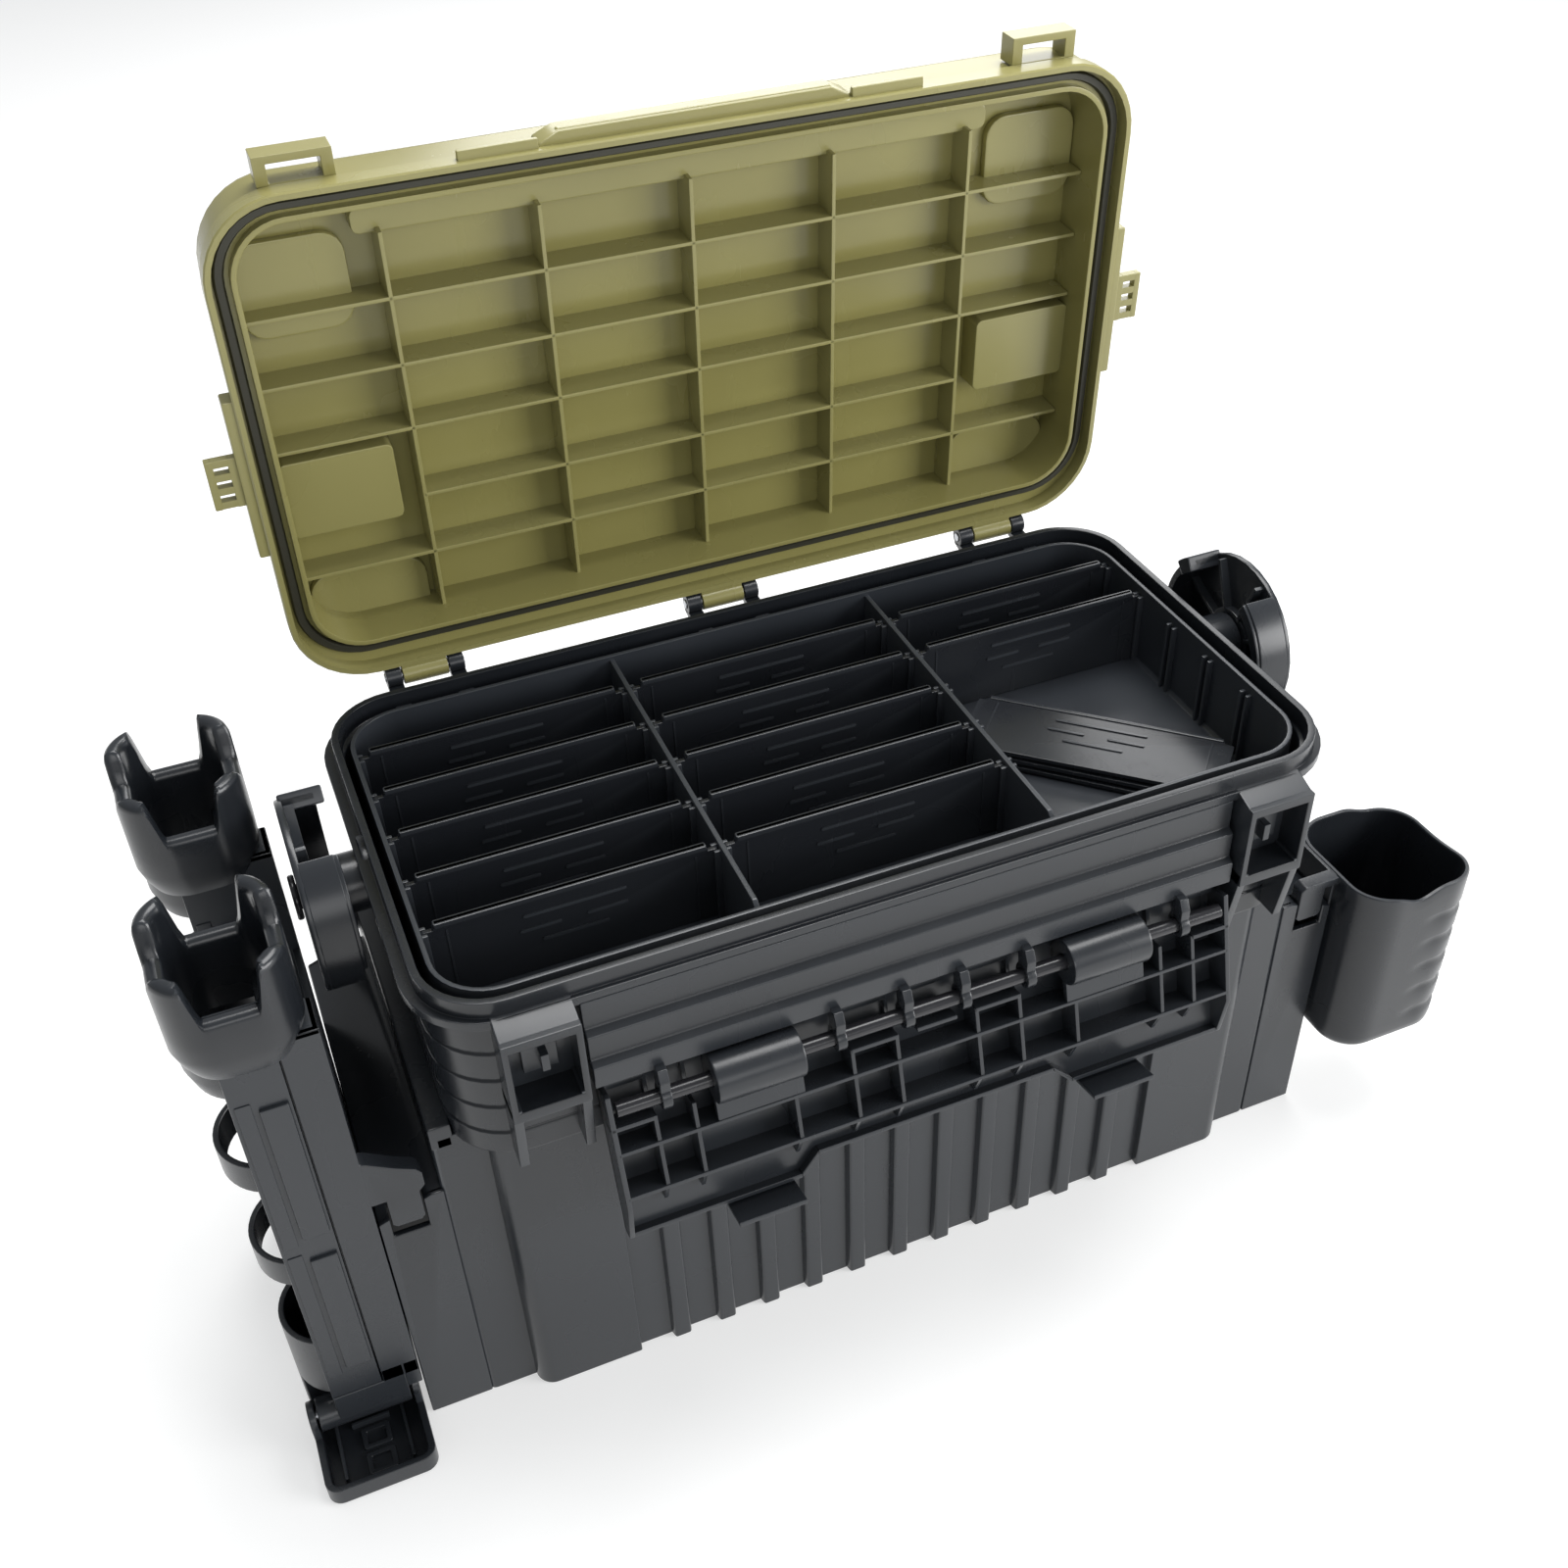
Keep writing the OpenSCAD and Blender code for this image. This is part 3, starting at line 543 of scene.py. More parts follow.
    def front(self) -> None:
        """Smooth panels, ribs, the stepped band and the latch carriers."""
        s = self.solid
        y = -self.back
        for side in SIDES:
            s.mirrored(side)
            bend = [(163.5 + 8 * math.sin(a), y - 8 * math.cos(a)) for a in
                    [math.pi / 2 * k / 8 for k in range(9)]]
            panel = [(125.3, y + 1), (125.3, y - 8)] + bend + [(171.5, y + 1)]
            s.prism(panel, Axis.Z, 0.1, self.flare_z + 0.5, 0.8)
        s.mirrored(1)
        s.box((-126, y - 4.5, 0.1), (126, y + 1, self.flare_z + 0.5), 0.4)
        for i in range(-5, 6):
            x = i * self.rib_pitch
            section = [(x - 4.7, y - 4), (x - 3.6, y - 8), (x + 3.6, y - 8), (x + 4.7, y - 4)]
            s.prism(section, Axis.Z, 0.1, self.flare_z + 0.5, 0.9)
        py, pz = self.pin.y, self.pin.z
        f = -self.upper_d / 2
        band = [(f + 1, pz + 11), (f - 11.5, pz + 11), (f - 11.5, pz + 21), (f - 8.5, pz + 23),
                (f - 8.5, pz + 34), (f - 5.5, pz + 36), (f - 5.5, self.flange_z + 0.5),
                (f + 1, self.flange_z + 0.5)]
        s.prism(band, Axis.X, -133, 133, 0.6)
        for x in (-109, -40, -12, 12, 40, 109):
            s.rod(Axis.X, (py, pz), 5.4, x - 2, x + 2, 0.6, hole=3.1)
            carrier = [(py - 3.4, pz + 4), (py - 3.4, pz + 9), (py - 1, pz + 13.5), (f + 1, pz + 13.5),
                       (f + 1, pz + 8.5), (py + 4.4, pz + 8.5), (py + 3.6, pz + 3.6)]
            s.prism(carrier, Axis.X, x - 2, x + 2, 0.5)

    def sockets(self) -> None:
        """Open-fronted accessory socket at each front corner, on two tapered legs."""
        s = self.solid
        f = -self.upper_d / 2
        for side in SIDES:
            s.mirrored(side)
            s.frame([(135, 198), (164, 198), (164, 237), (135, 237)],
                    [(137.6, 203), (161.4, 203), (161.4, 233), (137.6, 233)], Axis.Y, f - 15, f + 0.5, 0.5)
            s.box((136.5, f - 2, 200), (162.5, f + 0.5, 235), 0.2)
            s.prism([(f - 15, 236), (f + 1, 236), (f + 1, 240.4), (f - 3, 240.4)], Axis.X, 135, 164, 0.7)
            for x0 in (135, 160.2):
                s.prism([(f - 15, 204), (f + 1, 204), (f + 1, 168), (f - 9, 168)], Axis.X, x0, x0 + 3.8, 0.6)
            s.box((143, f - 5, 211), (156, f - 1, 225), 0.5)
            s.box((147, f - 9.5, 214), (150, f - 4, 222), 0.4)
            s.box((139, f - 4, 186), (160, f + 0.5, 198.5), 0.6)
        s.mirrored(1)

    def hardware(self) -> None:
        """Hinge knuckles, handle bosses and the ribs that carry the tray."""
        s = self.solid
        hy, hz = self.hinge.y, self.hinge.z
        for x in HINGE_X:
            for step in SIDES:
                a, b = x + step * 13.65 - 3.35, x + step * 13.65 + 3.35
                s.rod(Axis.X, (hy, hz), 4.5, a, b, 0.5, hole=2.1)
                bracket = [(94, 236.5), (94, 240), (101, 241.6), (hy - 2, 242.2), (hy + 2.5, 241.6),
                           (hy + 2.5, 240.6), (101, 236.5)]
                s.prism(bracket, Axis.X, a, b, 0.3)
        py, pz = self.pivot.y, self.pivot.z
        for side in SIDES:
            s.mirrored(side)
            s.rod(Axis.X, (py, pz), 12, 182, 205.5, 0.8, hole=5.1)
            s.rod(Axis.X, (py, pz), 17, 182, 187, 1.0, hole=9)
            for y in (-45, 45):
                s.box((175, y - 1.5, 167), (182, y + 1.5, 203.7), 0.3)
        s.mirrored(1)
        for x in (-120, -40, 40, 120):
            for side in SIDES:
                a, b = sorted((side * 92.5, side * 85.8))
                s.box((x - 1.5, a, 167), (x + 1.5, b, 203.7), 0.3)

    def build(self) -> None:
        """Builds the tub as one piece."""
        self.walls()
        self.lower()
        self.front()
        self.sockets()
        self.hardware()
        self.solid.piece("tub_moulding", "tub", BLACK, ["tub"])


# ---------------------------------------------------------------- lid


@dataclass
class Lid:
    """Domed-edge lid with inner ribs, gasket channel, loops and side tabs."""

    front: float = -102.5
    back: float = 106.0
    skirt: float = 2.6
    plate: float = 2.4
    corner: float = 32.0
    rib_rise: float = 14.5
    rise: float = 30.0
    half: float = 188.0

    def __post_init__(self) -> None:
        """Places the lid, which is drawn closed, at its rest opening."""
        hinge = joint("lid_hinge")
        self.hinge = Vector(hinge["pos_m"]) / MM
        self.place = joint_place("lid_hinge", -hinge["range_deg"][1])
        self.low = self.hinge.z - 2
        self.high = self.hinge.z + self.rise
        self.solid = Moulding(self.place)

    def line(self, inset: float) -> list[Flat]:
        """The lid's outline, pulled in all round."""
        middle = (0, (self.front + self.back) / 2)
        return rounded(2 * (self.half - inset), self.back - self.front - 2 * inset,
                       self.corner - inset, middle, 9)

    def shell(self) -> None:
        """Skirt, top and the channel that holds the gasket."""
        low, high = self.low, self.high
        s = self.solid
        s.vessel([(self.line(self.skirt), high - self.plate), (self.line(self.skirt), low),
                  (self.line(0.6), low), (self.line(0), low + 0.6), (self.line(0), low + 8.5),
                  (self.line(1.3), low + 9.6), (self.line(1.3), high - 6), (self.line(2.0), high - 3.2),
                  (self.line(3.8), high - 1.0), (self.line(7), high)], 0.0)
        s.frame(self.line(0.5), rounded(352.8, 182, 21, steps=9), Axis.Z, low + 7.2, low + 9.4, 0.3)
        s.frame(rounded(356.8, 186, 23, steps=9), rounded(352.4, 181.6, 21, steps=9), Axis.Z,
                low + 3, high - 1, 0.5)

    def ribs(self) -> None:
        """Grid of stiffening ribs, thinner towards their crests."""
        s = self.solid
        crest = self.hinge.z + self.rib_rise
        root = self.high - self.plate + 0.3
        y0, y1 = self.hinge.y - 187, self.hinge.y - 8
        for i in range(-2, 3):
            x = i * 60.8
            section = [(x - 0.8, crest), (x + 0.8, crest), (x + 1.3, root), (x - 1.3, root)]
            s.prism(section, Axis.Y, y0, y1, 0.3)
        for u, reach in ((161, 176), (133.5, 176), (106, 176), (75, 122), (47.5, 176)):
            y = self.hinge.y - u
            section = [(y - 0.8, crest), (y + 0.8, crest), (y + 1.3, root), (y - 1.3, root)]
            s.prism(section, Axis.X, -reach, reach, 0.3)

    def pads(self) -> None:
        """Raised pads and panels in the two outer columns and a step along the front."""
        s = self.solid
        top = self.high - self.plate + 0.3
        crest = self.hinge.z + self.rib_rise
        hy = self.hinge.y
        for side in SIDES:
            s.mirrored(side)
            s.prism(rounded(46, 34, 3, (154, hy - 84), 4), Axis.Z, crest + 0.6, top, 0.7)
            s.prism(rounded(42, 38, 9, (155, hy - 168), 5), Axis.Z, top - 4.2, top, 1.2)
            s.prism(rounded(50, 34, 10, (150, hy - 25), 5), Axis.Z, top - 4.2, top, 1.2)
        s.mirrored(1)
        s.prism(rounded(262, 10, 3, (0, hy - 190), 3), Axis.Z, top - 8, top, 1.2)

    def trims(self) -> None:
        """Finger lip, catch ledges, loops, side bars and slotted tabs."""
        s = self.solid
        low, f = self.low, self.front
        s.prism([(-62, f + 1), (-62, f - 1), (-54, f - 4.6), (54, f - 4.6), (62, f - 1), (62, f + 1)], Axis.Z,
                low + 4, low + 14, 0.9)
        s.prism([(-60, f + 1), (-54, f - 4.9), (54, f - 4.9), (60, f + 1)], Axis.Z, low + 5.5, low + 8, 0.5)
        for side in SIDES:
            s.mirrored(side)
            s.prism([(f + 1, low + 2.5), (f - 3.5, low + 3), (f - 3.5, low + 5), (f + 1, low + 6.5)],
                    Axis.X, 62, 92, 0.4)
            s.frame([(134, f - 10), (162, f - 10), (162, f + 0.6), (134, f + 0.6)],
                    [(138.5, f - 7), (157.5, f - 7), (157.5, f - 0.1), (138.5, f - 0.1)], Axis.Z,
                    low + 9, low + 19, 0.7)
            x0 = self.half
            y0, y1 = self.hinge.y - 140, self.hinge.y - 72
            s.box((x0 - 1, y0, low + 1), (x0 + 4, y1, low + 10), 0.8)
            s.box((x0 - 1, y0 + 9, low + 9), (x0 + 2.6, y1 - 9, low + 14), 0.8)
            t0, t1 = self.hinge.y - 117, self.hinge.y - 96
            s.box((x0 + 3, t0, low + 2), (x0 + 7, t1, low + 6), 0.4)
            s.box((200.5, t0, low + 2), (203.5, t1, low + 6), 0.5)
            for k in range(4):
                y = t0 + k * 5.9
                s.box((x0 + 6, y, low + 2.1), (201.5, y + 3.1, low + 5.9), 0.3)
        s.mirrored(1)
        hy, hz = self.hinge.y, self.hinge.z
        for x in HINGE_X:
            s.rod(Axis.X, (hy, hz), 4.5, x - 9.8, x + 9.8, 0.5, hole=2.1)
            s.prism([(self.back - 1, hz - 1.6), (hy - 3.2, hz - 1.6), (hy - 2.2, hz + 2.4), (hy, hz + 4.4),
                     (self.back - 1, hz + 5.2)], Axis.X, x - 9.8, x + 9.8, 0.4)

    def gasket(self) -> None:
        """Soft seal in the channel, with a rounded crest."""
        seal = Moulding(self.place)
        outer, inner = rounded(368.6, 195.6, 27, steps=9), rounded(360.4, 189, 24, steps=9)
        mid_out, mid_in = rounded(367, 194.4, 26.5, steps=9), rounded(362, 190.2, 24.6, steps=9)
        z0, z1 = 247.9, 250.2
        rings = [(outer, z1), (outer, z0 + 1), (mid_out, z0), (mid_in, z0), (inner, z0 + 1), (inner, z1)]
        seal.loft([[Axis.Z.lift(p, z) for p in line] for line, z in rings], 0.0, loop=True)
        seal.piece("lid_seal", "lid", SEAL, ["lid_gasket"])

    def build(self) -> None:
        """Builds the lid and its seal."""
        self.shell()
        self.ribs()
        self.pads()
        self.trims()
        self.solid.piece("lid_moulding", "lid", OLIVE, ["lid"])
        self.gasket()


# ---------------------------------------------------------------- latch flap


@dataclass
class LatchFlap:
    """Drop-front flap, smooth outside and ribbed inside, drawn closed about its pin."""

    back: float = -12.0
    crest: float = 2.0
    low: float = -7.0
    length: float = 62.0
    width: float = 262.0

    def __post_init__(self) -> None:
        """Places the flap, which is drawn closed, at its rest opening."""
        hinge = joint("latch_hinge")
        pin = Vector(hinge["pos_m"]) / MM
        opened = joint_place("latch_hinge", -hinge["range_deg"][1])
        self.solid = Moulding(opened @ Matrix.Translation(pin))

    def plate(self) -> None:
        """Outer plate, with the step between its two hooking tabs."""
        s, h, b = self.solid, self.width / 2, self.back
        top = self.length
        outline = [(-h, self.low), (h, self.low), (h, top), (60, top), (52, top - 8), (-52, top - 8),
                   (-60, top), (-h, top)]
        s.prism(outline, Axis.Y, b, b + 2.2, 0.5)
        s.box((-52, b, top - 10), (52, b + 6, top - 8), 0.5)
        for side in SIDES:
            s.mirrored(side)
            s.prism([(52, top - 10), (60, top - 2.2), (60, top), (52, top - 8)], Axis.Y, b, b + 6, 0.4)
            s.box((60, b, top - 2), (h, b + 6, top), 0.5)
            s.prism([(b, top - 2), (b, top + 2.8), (self.crest + 4, top + 2.8), (self.crest + 4, top + 0.7),
                     (b + 2.2, top + 0.7), (b + 2.2, top - 2)], Axis.X, 63, 91, 0.5)
            wall = [(b, self.low), (self.crest, self.low), (self.crest, top - 19), (b + 6, top), (b, top)]
            s.prism(wall, Axis.X, h - 2.2, h, 0.5)
        s.mirrored(1)

    def ribs(self) -> None:
        """Upright and cross ribs, and the inner shelf between the pin carriers."""
        s, h, b = self.solid, self.width / 2, self.back
        for x in (17, 35.5, 60, 99, 114):
            for side in SIDES:
                a = side * x
                s.prism([(b + 1, self.low), (-6.8, self.low), (-6.8, 4), (-3, 6.9), (self.crest - 0.5, 6.9),
                         (self.crest - 0.5, 38), (b + 5, 50), (b + 1, 50)], Axis.X, a - 0.8, a + 0.8, 0.25)
        for z in (18, 38):
            s.box((-h + 1, b + 1, z), (h - 1, self.crest, z + 1.5), 0.3)
        for a, c in ((-h, -114), (-36, -16.5), (-8.5, 8.5), (16.5, 36), (114, h)):
            s.box((a, b + 1, self.low), (c, -6.6, self.low + 2.2), 0.4)
            s.box((a, -8, 6.6), (c, self.crest, 8.4), 0.4)
        for side in SIDES:
            s.mirrored(side)
            s.rod(Axis.X, (0, 0), 10, 56, 91, 1.0, hole=3.15)
            outer, inner = self.crest - 0.4, self.crest - 3.4
            s.prism([(inner, 8.6), (outer, 9.4), (outer, 19), (inner, 19)], Axis.X, 56, 91, 0.5)
            s.box((56, b + 1, -3), (91, b + 4.5, 8), 0.6)
        s.mirrored(1)
        for x in (-104, -48, -24, 0, 24, 48, 104):
            s.rod(Axis.Y, (x, 45.5), 3.2, b + 1.8, b + 2.5, 0.2)

    def build(self) -> None:
        """Builds the flap as one piece."""
        self.plate()
        self.ribs()
        self.solid.piece("latch_flap_moulding", "latch_flap", BLACK, ["latch_flap"])


# ---------------------------------------------------------------- carry handle


@dataclass
class CarryHandle:
    """U-shaped handle whose end hubs close over the lid's side tabs."""

    hub: float = 38.0
    band: float = 3.6
    arm: float = 150.0
    fold: float = 45.0

    def __post_init__(self) -> None:
        """Starts at the hubs' pivot."""
        self.pivot = Vector(joint("handle_swing")["pos_m"]) / MM
        self.solid = Moulding(Matrix.Translation(self.pivot))

    def hubs(self) -> None:
        """Disc, rim with its gap, bridge block, pad and spokes on each side."""
        s, r = self.solid, self.hub
        for side in SIDES:
            s.mirrored(side)
            s.rod(Axis.X, (0, 0), r, 209.5, 212.5, 0.9, hole=5.2)
            s.prism(arch(r - self.band, r, 122, 418, (0, 0), 56), Axis.X, 197, 210.5, 0.6)
            s.prism(arch(r - 5.8, r - 0.8, 122, 204, (0, 0), 20), Axis.X, 195.5, 210.5, 0.7)
            s.prism(arch(r - 5.4, r + 1.6, 44, 58, (0, 0), 6), Axis.X, 194, 211, 0.8)
            s.rod(Axis.X, (0, 0), 14, 206, 210.5, 0.6, hole=5.2)
            for k in range(8):
                turn = math.radians(45 * k + 22.5)
                c, d = math.cos(turn), math.sin(turn)
                corners = ((12, -0.9), (r - 2, -0.9), (r - 2, 0.9), (12, 0.9))
                spoke = [(c * a - d * w, d * a + c * w) for a, w in corners]
                s.prism(spoke, Axis.X, 205.8, 210.5, 0.25)

    def arms(self) -> None:
        """Two arms and the grip, folded down behind the box."""
        s = self.solid
        turn = math.radians(-self.fold)
        c, d = math.cos(turn), math.sin(turn)
        swing = lambda a, w: (c * a - d * w, d * a + c * w)
        for side in SIDES:
            s.mirrored(side)
            tip = [(self.arm - 8 + 12 * math.cos(t), 12 * math.sin(t)) for t in
                   [math.pi * (k / 12 - 0.5) for k in range(13)]]
            outline = [swing(a, w) for a, w in [(self.hub - 5, -12)] + tip + [(self.hub - 5, 12)]]
            s.prism(outline, Axis.X, 199, 210, 1.2)
            root = [swing(a, w) for a, w in ((self.hub - 5, -15), (self.hub + 25, -13), (self.hub + 25, 13),
                                             (self.hub - 5, 15))]
            s.prism(root, Axis.X, 199, 203, 0.8)
            slot = [swing(a, w) for a, w in ((self.hub + 32, -6), (self.arm - 24, -6), (self.arm - 24, 6),
                                             (self.hub + 32, 6))]
            s.prism(slot, Axis.X, 209.4, 210.8, 0.5)
        s.mirrored(1)
        middle = swing(self.arm, 0)
        s.rod(Axis.X, middle, 9, -200, 200, 1.0)
        s.rod(Axis.X, middle, 11, -70, 70, 1.6)
        for k in range(-4, 5):
            s.rod(Axis.X, middle, 11.0, k * 13 - 3.2, k * 13 + 3.2, 0.8)

    def build(self) -> None:
        """Builds the handle as one piece."""
        self.hubs()
        self.arms()
        self.solid.piece("carry_handle_moulding", "carry_handle", BLACK, ["carry_handle"])


# ---------------------------------------------------------------- rod stand


@dataclass
class RodStand:
    """Bracket hooked on the left cheek, two rod holders that slide on it, and a foot."""

    rail: float = -233.0
    face: float = -233.6
    spine_x: float = -254.0
    front: float = -77.0
    depth: float = 15.0
    ring_x: float = -243.5
    ring_r: float = 21.5
    mouth_z: float = 240.0

    def __post_init__(self) -> None:
        """Reads the pitch of the holders and the foot's pin from the CAD."""
        self.pitch = cad_box("rod_holder_rear")[0].y - cad_box("rod_holder_front")[0].y
        self.pin = Vector(joint("foot_fold")["pos_m"]) / MM

    def rim(self, x: float, y: float) -> float:
        """Height of the mouth's rim: four prongs with soft notches between them.

        Args:
            x: place across the mouth, from its middle.
            y: place from front to back, from its middle.
        Returns:
            The height above the mouth's foot.
        """
        prong = 37.0 + 7.0 * smooth(-4, 9, y)
        notch = (1 - smooth(8.8, 13.2, abs(x))) * (prong - (20 if y < 0 else 23))
        side = (1 - smooth(5, 11, abs(y + 2))) * (prong - 32)
        return prong - max(notch, side)

    def mouth(self, s: Moulding, shift: float) -> None:
        """Square-cornered mouth of a rod holder, with its tapered skirt."""
        middle = (self.ring_x, self.front + 17 + shift)
        base = self.mouth_z
        sizes = ((39, 15), (43, 16), (46, 16), (44.8, 15.4), (42, 14), (37.5, 11.8), (34.4, 10.2),
                 (33, 9.5))
        outlines = {w: densify(rounded(w, w, r, middle, 24)) for w, r in sizes}
        top = lambda line, less: [
            (x, y, base + self.rim(x - middle[0], y - middle[1]) - less) for x, y in line]
        level = lambda line, z: [(x, y, z) for x, y in line]
        rings = [level(outlines[39], base - 9), level(outlines[43], base - 4),
                 level(outlines[46], base + 3), level(outlines[46], base + 12), top(outlines[46], 3.0),
                 top(outlines[44.8], 1.0), top(outlines[42], 0), top(outlines[37.5], 0),
                 top(outlines[34.4], 1.0), top(outlines[33], 3.2),
                 level(outlines[33], base + 12), level(outlines[33], base - 9)]
        s.loft(rings, 0.0, loop=True)
        c = (self.ring_x, self.front + self.ring_r + 1.5 + shift)
        big, small = dee(self.ring_r + 1, c, self.face), dee(self.ring_r - 1.6, c, self.face - 2.4)
        low, thin = dee(self.ring_r - 1.5, c, self.face), dee(self.ring_r - 3.6, c, self.face - 2.4)
        s.loft([[Axis.Z.lift(p, z) for p in line] for line, z in
                ((low, 213), (big, 222), (big, base + 1), (small, base + 1), (small, 222), (thin, 213))],
               0.5, loop=True)

    def holder(self, name: str, body: str, shift: float) -> None:
        """Builds one rod holder.

        Args:
            name: the CAD node and the start of the piece's name.
            body: the body it rides on.
            shift: how far it stands behind the front one.
        """
        s = Moulding()
        y0 = self.front + shift
        x0, x1 = self.spine_x, self.face
        neck, head = x1 - 2.0, x1 - 5.8
        section = [(x0, y0), (x1, y0), (x1, y0 + 4.6), (neck, y0 + 4.6), (neck, y0 + 2.6),
                   (head, y0 + 2.6), (head, y0 + 11.4), (neck, y0 + 11.4), (neck, y0 + 9.4),
                   (x1, y0 + 9.4), (x1, y0 + self.depth), (x0, y0 + self.depth)]
        s.prism(section, Axis.Z, 34, self.mouth_z - 1, 0.4)
        s.box((x0, y0, self.mouth_z - 1.5), (x1, y0 + self.depth, self.mouth_z + 6), 0.6)
        for a, b in ((52, 124), (137, 210)):
            s.box((x0 + 9, y0 - 1.6, a), (x1 - 1, y0 + 1, b), 0.8)
            s.box((x0 + 1.4, y0 - 0.5, a - 4), (x0 + 7, y0 + 1, b + 4), 0.4)
        c = (self.ring_x, y0 + self.ring_r + 0.5)
        outer, inner = dee(self.ring_r, c, x1), dee(self.ring_r - 2.4, c, x1 - 2.4)
        for z in (122, 179):
            s.frame(outer, inner, Axis.Z, z - 14, z, 0.5)
        s.frame(outer, inner, Axis.Z, 34, 69, 0.5)
        cut = y0 + 17.5
        low_outer = [(x, max(y, cut)) for x, y in outer]
        low_inner = [(x, max(y, cut + 2.4)) for x, y in inner]
        s.vessel([(low_outer, 12), (low_outer, 34.5), (low_inner, 34.5), (low_inner, 15)], 0.4)
        self.mouth(s, shift)
        s.piece(name + "_moulding", body, BLACK, [name])

    def bracket(self) -> None:
        """Two hollow columns with rails, the plate between them, the hook and the foot's barrel."""
        s = Moulding()
        r = self.rail
        for shift in (0, self.pitch):
            y0 = self.front + shift
            y1 = y0 + 17
            channel = [(r, y1), (r, y0), (-218, y0), (-218, y1), (-220.5, y1), (-220.5, y0 + 2.5),
                       (r + 2.5, y0 + 2.5), (r + 2.5, y1)]
            s.prism(channel, Axis.Z, 33, 239, 0.5)
            s.box((r, y0, 236.5), (-218, y1, 239), 0.5)
            s.box((r - 3.5, y0 + 5, 33), (r + 0.5, y0 + 9, 238), 0.4)
            s.box((r - 6, y0 + 3, 33), (r - 3, y0 + 11, 238), 0.5)
            low = 24.4 if shift == 0 else 12
            s.box((-224.2, y0, low), (-218, y1, 41), 0.5)
            s.box((r, y0, 17 if shift == 0 else 12), (-224, y1, 41), 0.5)
            s.box((self.spine_x, y0, 17), (r + 1, y1, 33.6), 0.8)
            for z in (70, 120, 170, 215):
                s.box((r + 1, y0 + 1, z), (-219.5, y0 + 16, z + 1.6), 0.3)
        s.box((-224.2, self.front + 7, 17), (-218, self.front + 17, 25), 0.4)
        s.box((-221, self.front + 10, 24), (-217.9, self.front + self.pitch + 5, 188), 0.5)
        s.rod(Axis.X, (self.pin.y, self.pin.z), 7.2, -262, -224, 0.6, hole=2.1)
        hook = [(-218.5, 141), (-218.5, 166), (-216, 165), (-206, 158), (-199, 154), (-197, 151), (-197, 144),
                (-199.5, 141), (-199.5, 127), (-201, 125), (-211, 125), (-212.5, 127), (-212.5, 141)]
        s.prism(hook, Axis.Y, self.front, self.front + 7, 0.8)
        s.piece("side_bracket_moulding", "tub", BLACK, ["side_bracket"])

    def foot(self) -> None:
        """Shallow fold-out foot with its lugs and catch windows."""
        s = Moulding()
        middle = (-243, -79)
        outer, inner = rounded(46, 48, 6, middle, 6), rounded(40, 44.5, 3.5, (-243, -78.2), 6)
        s.vessel([(outer, 0), (outer, 9.4), (inner, 9.4), (inner, 2)], 0.6)
        for x in (-266, -223):
            s.rod(Axis.X, (self.pin.y, self.pin.z), 6.6, x, x + 3, 0.5, hole=2.1)
            lug = [(-6.5, 6), (-6.5, 17), (-2.2, 13), (2.2, 13), (6.5, 17), (6.5, 6)]
            s.prism([(self.pin.y + y, z) for y, z in lug], Axis.X, x, x + 3, 0.3)
        for y in (-92, -80):
            s.frame(rounded(12, 10, 1, (-242, y), 2), rounded(8, 6, 0.6, (-242, y), 2), Axis.Z, 1, 3.6, 0.3)
        for x in (-258, -230):
            s.box((x, -96, 1), (x + 1.4, -58, 5), 0.3)
        s.box((-251, -73, 1), (-235, -71.6, 5), 0.3)
        s.piece("foot_moulding", "foot", BLACK, ["foot"])

    def build(self) -> None:
        """Builds the bracket, both holders and the foot."""
        self.bracket()
        self.holder("rod_holder_front", "rod_holder_front", 0)
        self.holder("rod_holder_rear", "rod_holder_rear", self.pitch)
        self.foot()


def densify(line: list[Flat], gap: float = 1.6) -> list[Flat]:
    """Adds points along an outline's long straight pieces, the same number for outlines of a kind."""
    points = []
    for k, a in enumerate(line):
        b = line[(k + 1) % len(line)]
        points.append(a)
        if math.dist(a, b) > 4 * gap:
            points += [(a[0] + (b[0] - a[0]) * t / 12, a[1] + (b[1] - a[1]) * t / 12) for t in range(1, 12)]
    return points


# ---------------------------------------------------------------- cup


